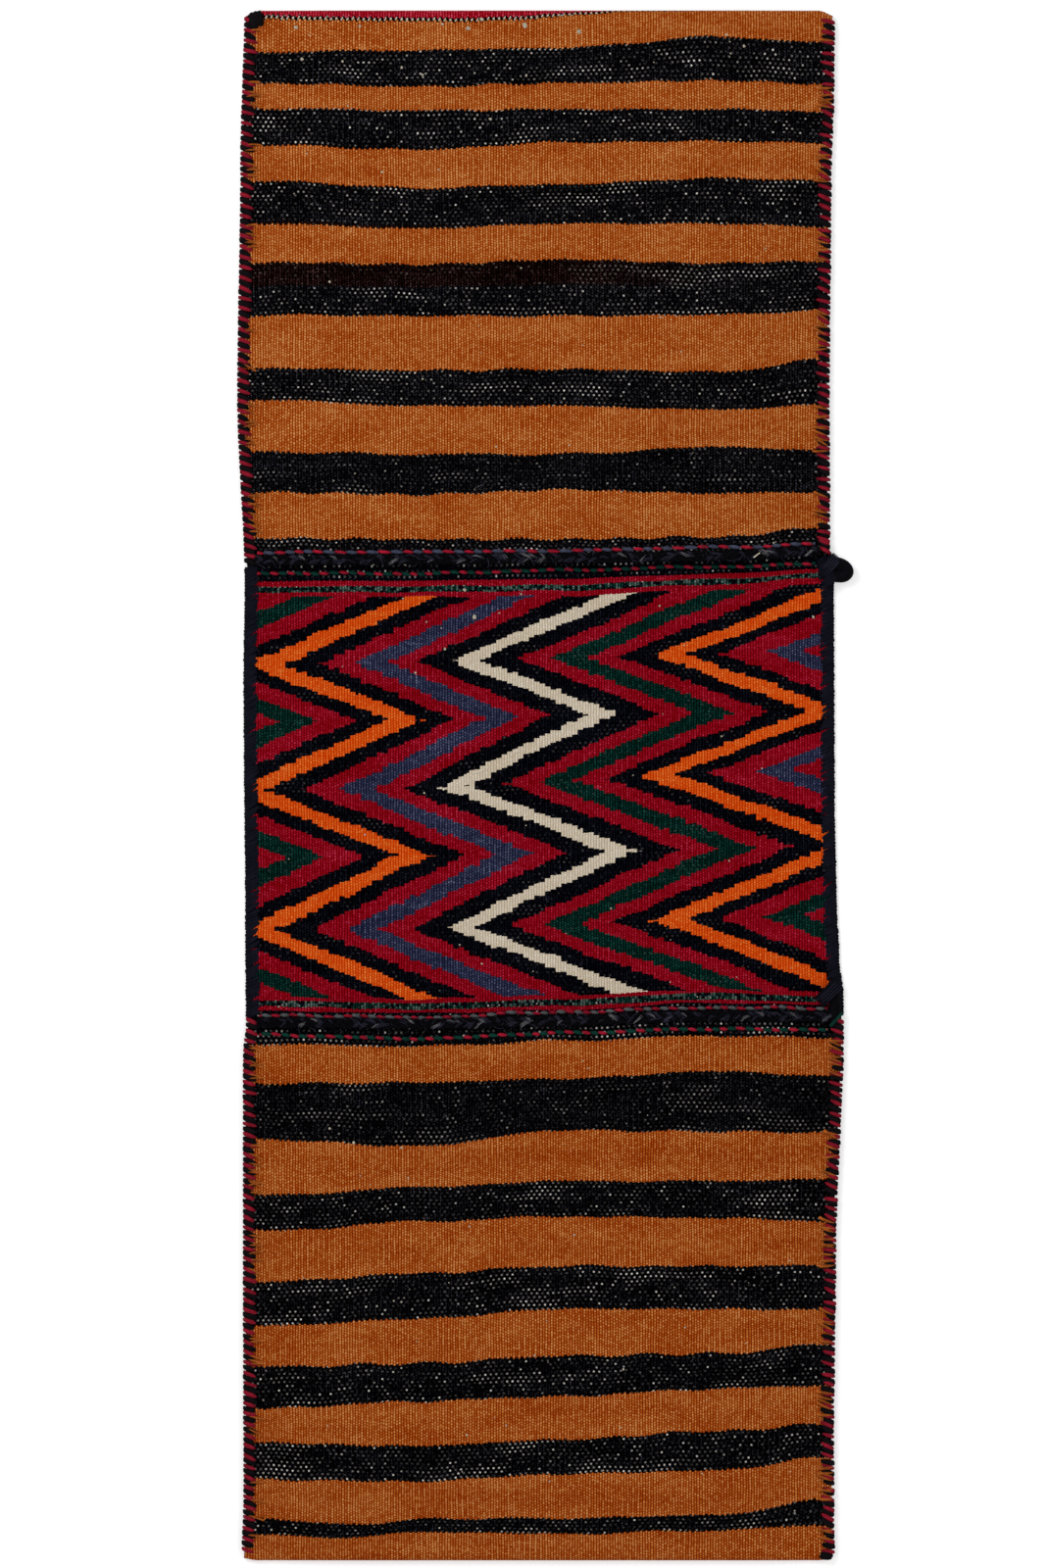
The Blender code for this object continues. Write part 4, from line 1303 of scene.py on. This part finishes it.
def make_stage(settings):
    """A pale floor, even light from all round with a soft main lamp, and the camera straight above."""
    deselect()
    bpy.ops.mesh.primitive_plane_add(size=24, location=(0, 0, 0))
    floor = bpy.context.active_object
    floor.name = "floor"
    shade = Shading("pale_floor", 0.9)
    shade.color((0.82, 0.82, 0.82))
    camera_ray = shade.node("ShaderNodeLightPath", None, None, 0)
    glow = shade.node("ShaderNodeEmission", None, {"Color": (1.0, 1.0, 1.0), "Strength": camera_ray * 0.34})
    both = shade.node("ShaderNodeAddShader", None, {0: Socket(shade, shade.shader.outputs[0]), 1: glow})
    shade.feed(shade.tree.nodes["Material Output"].inputs["Surface"], both)
    painted(floor, shade.material)

    world = bpy.context.scene.world or bpy.data.worlds.new("studio")
    bpy.context.scene.world = world
    world.use_nodes = True
    tree = world.node_tree
    background = tree.nodes["Background"]
    background.inputs["Color"].default_value = (1, 1, 1, 1)
    path = tree.nodes.new("ShaderNodeLightPath")
    strength = tree.nodes.new("ShaderNodeMapRange")
    strength.inputs["To Min"].default_value = settings.sky
    strength.inputs["To Max"].default_value = 1.0
    tree.links.new(path.outputs["Is Camera Ray"], strength.inputs["Value"])
    tree.links.new(strength.outputs[0], background.inputs["Strength"])

    # Place, power and size of each lamp
    lamps = (((-1.5, 1.3, 2.2), settings.key, 1.4), ((1.7, -0.6, 2.4), settings.key * 0.45, 2.0))
    for index, (place, power, size) in enumerate(lamps):
        deselect()
        bpy.ops.object.light_add(type="AREA", location=place)
        lamp = bpy.context.active_object
        lamp.name = "lamp_" + str(index)
        lamp.rotation_euler = Vector(place).to_track_quat("Z", "Y").to_euler()
        lamp.data.energy = power
        lamp.data.size = size

    deselect()
    target = (settings.view_x, settings.view_y, settings.camera_height)
    bpy.ops.object.camera_add(location=target, rotation=(0, 0, 0))
    camera = bpy.context.active_object
    camera.data.sensor_fit = "VERTICAL"
    camera.data.sensor_height = 36.0
    cloth_height = 0.010
    distance = settings.camera_height - cloth_height
    camera.data.lens = camera.data.sensor_height * distance / settings.view_height
    camera.data.clip_end = 50.0
    bpy.context.scene.camera = camera
    bpy.context.scene.view_settings.view_transform = "Standard"


def yarn_wools(settings):
    """The materials of all yarns, by the words that the pieces use for them; each is made once."""
    fixed_colors = {
        "tuft": srgb(176, 92, 34),
        "ivory": srgb(214, 203, 180),
        "loose_hair": srgb(48, 47, 62),
        # The pale grey hair paints highlights on the dark goat hair
        "grey_hair": srgb(112, 111, 116),
    }
    # Twists in a metre, depth of the painted shade between the plies, and hairiness, as far as they aren't
    # the usual ones
    finishes = {
        "red": (), "dark": (), "navy": (160.0,), "tuft": (120.0,), "ivory": (60.0, 0.2),
        "hair": (60.0, 0.3, 0.6), "loose_hair": (30.0, 0.2), "grey_hair": (30.0, 0.2),
        "twined_red": (330.0, 0.3), "twined_green": (330.0, 0.3),
        "twined_slate": (330.0, 0.3), "twined_grey": (330.0, 0.3),
    }
    wools = {}
    for word, finish in finishes.items():
        name = word + "_wool"
        wools[word] = bpy.data.materials.get(name)
        if not wools[word]:
            color = fixed_colors[word] if word in fixed_colors else tuple(getattr(settings, word))
            wools[word] = yarn_material(name, color, *finish)
    return wools


class SADDLEBAG_OT_cloth(bpy.types.Operator):
    """Weave the folded strip that makes both pockets and the bridge"""

    bl_idname = "saddlebag.cloth"
    bl_label = "Woven Strip"

    def execute(self, context):
        make_cloth(context.scene.saddlebag_cloth)
        return {"FINISHED"}


class SADDLEBAG_OT_seams(bpy.types.Operator):
    """Sew the four side seams, stitch by stitch"""

    bl_idname = "saddlebag.seams"
    bl_label = "Side Seams"

    def execute(self, context):
        make_seams(context.scene.saddlebag_yarn)
        return {"FINISHED"}


class SADDLEBAG_OT_selvedges(bpy.types.Operator):
    """Overcast both edges of the bridge"""

    bl_idname = "saddlebag.selvedges"
    bl_label = "Bridge Selvedges"

    def execute(self, context):
        make_selvedges(context.scene.saddlebag_yarn)
        return {"FINISHED"}


class SADDLEBAG_OT_lashings(bpy.types.Operator):
    """Lash the upper left and the lower right corner"""

    bl_idname = "saddlebag.lashings"
    bl_label = "Corner Lashings"

    def execute(self, context):
        make_lashings(context.scene.saddlebag_yarn)
        return {"FINISHED"}


class SADDLEBAG_OT_twining(bpy.types.Operator):
    """Twine the four two-colour rows beside the mouths"""

    bl_idname = "saddlebag.twining"
    bl_label = "Twined Rows"

    def execute(self, context):
        make_twining(context.scene.saddlebag_yarn)
        return {"FINISHED"}


class SADDLEBAG_OT_braids(bpy.types.Operator):
    """Braid the goat hair along both lips"""

    bl_idname = "saddlebag.braids"
    bl_label = "Mouth Braids"

    def execute(self, context):
        make_braids(context.scene.saddlebag_yarn)
        return {"FINISHED"}


class SADDLEBAG_OT_loops(bpy.types.Operator):
    """Bind the closing loops at the right-hand ends of the mouths"""

    bl_idname = "saddlebag.loops"
    bl_label = "Closing Loops"

    def execute(self, context):
        make_loops(context.scene.saddlebag_yarn)
        return {"FINISHED"}


class SADDLEBAG_OT_slubs(bpy.types.Operator):
    """Scatter the small knots of ivory wool that stand on the cloth"""

    bl_idname = "saddlebag.slubs"
    bl_label = "Wool Slubs"

    def execute(self, context):
        make_slubs(context.scene.saddlebag_yarn)
        return {"FINISHED"}


class SADDLEBAG_OT_stage(bpy.types.Operator):
    """Set the floor, the soft light and the camera"""

    bl_idname = "saddlebag.stage"
    bl_label = "Studio"

    def execute(self, context):
        make_stage(context.scene.saddlebag_stage)
        return {"FINISHED"}


OPERATORS = (
    SADDLEBAG_OT_cloth,
    SADDLEBAG_OT_seams,
    SADDLEBAG_OT_selvedges,
    SADDLEBAG_OT_lashings,
    SADDLEBAG_OT_twining,
    SADDLEBAG_OT_braids,
    SADDLEBAG_OT_loops,
    SADDLEBAG_OT_slubs,
    SADDLEBAG_OT_stage,
)
GROUPS = (
    ("saddlebag_cloth", ClothSettings),
    ("saddlebag_yarn", YarnSettings),
    ("saddlebag_stage", StageSettings),
)


class SADDLEBAG_PT_pieces(bpy.types.Panel):
    """Lists the bag's pieces and their settings"""

    bl_label = "Saddle Bag"
    bl_idname = "SADDLEBAG_PT_pieces"
    bl_space_type = "VIEW_3D"
    bl_region_type = "UI"
    bl_category = "Saddle Bag"

    def draw(self, context):
        for operator in OPERATORS:
            self.layout.operator(operator.bl_idname)
        for attribute, group in GROUPS:
            box = self.layout.box()
            for name in group.__annotations__:
                box.prop(getattr(context.scene, attribute), name)


def register():
    for attribute, group in GROUPS:
        bpy.utils.register_class(group)
        setattr(bpy.types.Scene, attribute, bpy.props.PointerProperty(type=group))
    for operator in OPERATORS:
        bpy.utils.register_class(operator)
    bpy.utils.register_class(SADDLEBAG_PT_pieces)


def unregister():
    bpy.utils.unregister_class(SADDLEBAG_PT_pieces)
    for operator in reversed(OPERATORS):
        bpy.utils.unregister_class(operator)
    for attribute, group in reversed(GROUPS):
        delattr(bpy.types.Scene, attribute)
        bpy.utils.unregister_class(group)


def main():
    register()
    for operator in OPERATORS:
        group, name = operator.bl_idname.split(".")
        getattr(getattr(bpy.ops, group), name)()


if __name__ == "__main__":
    main()
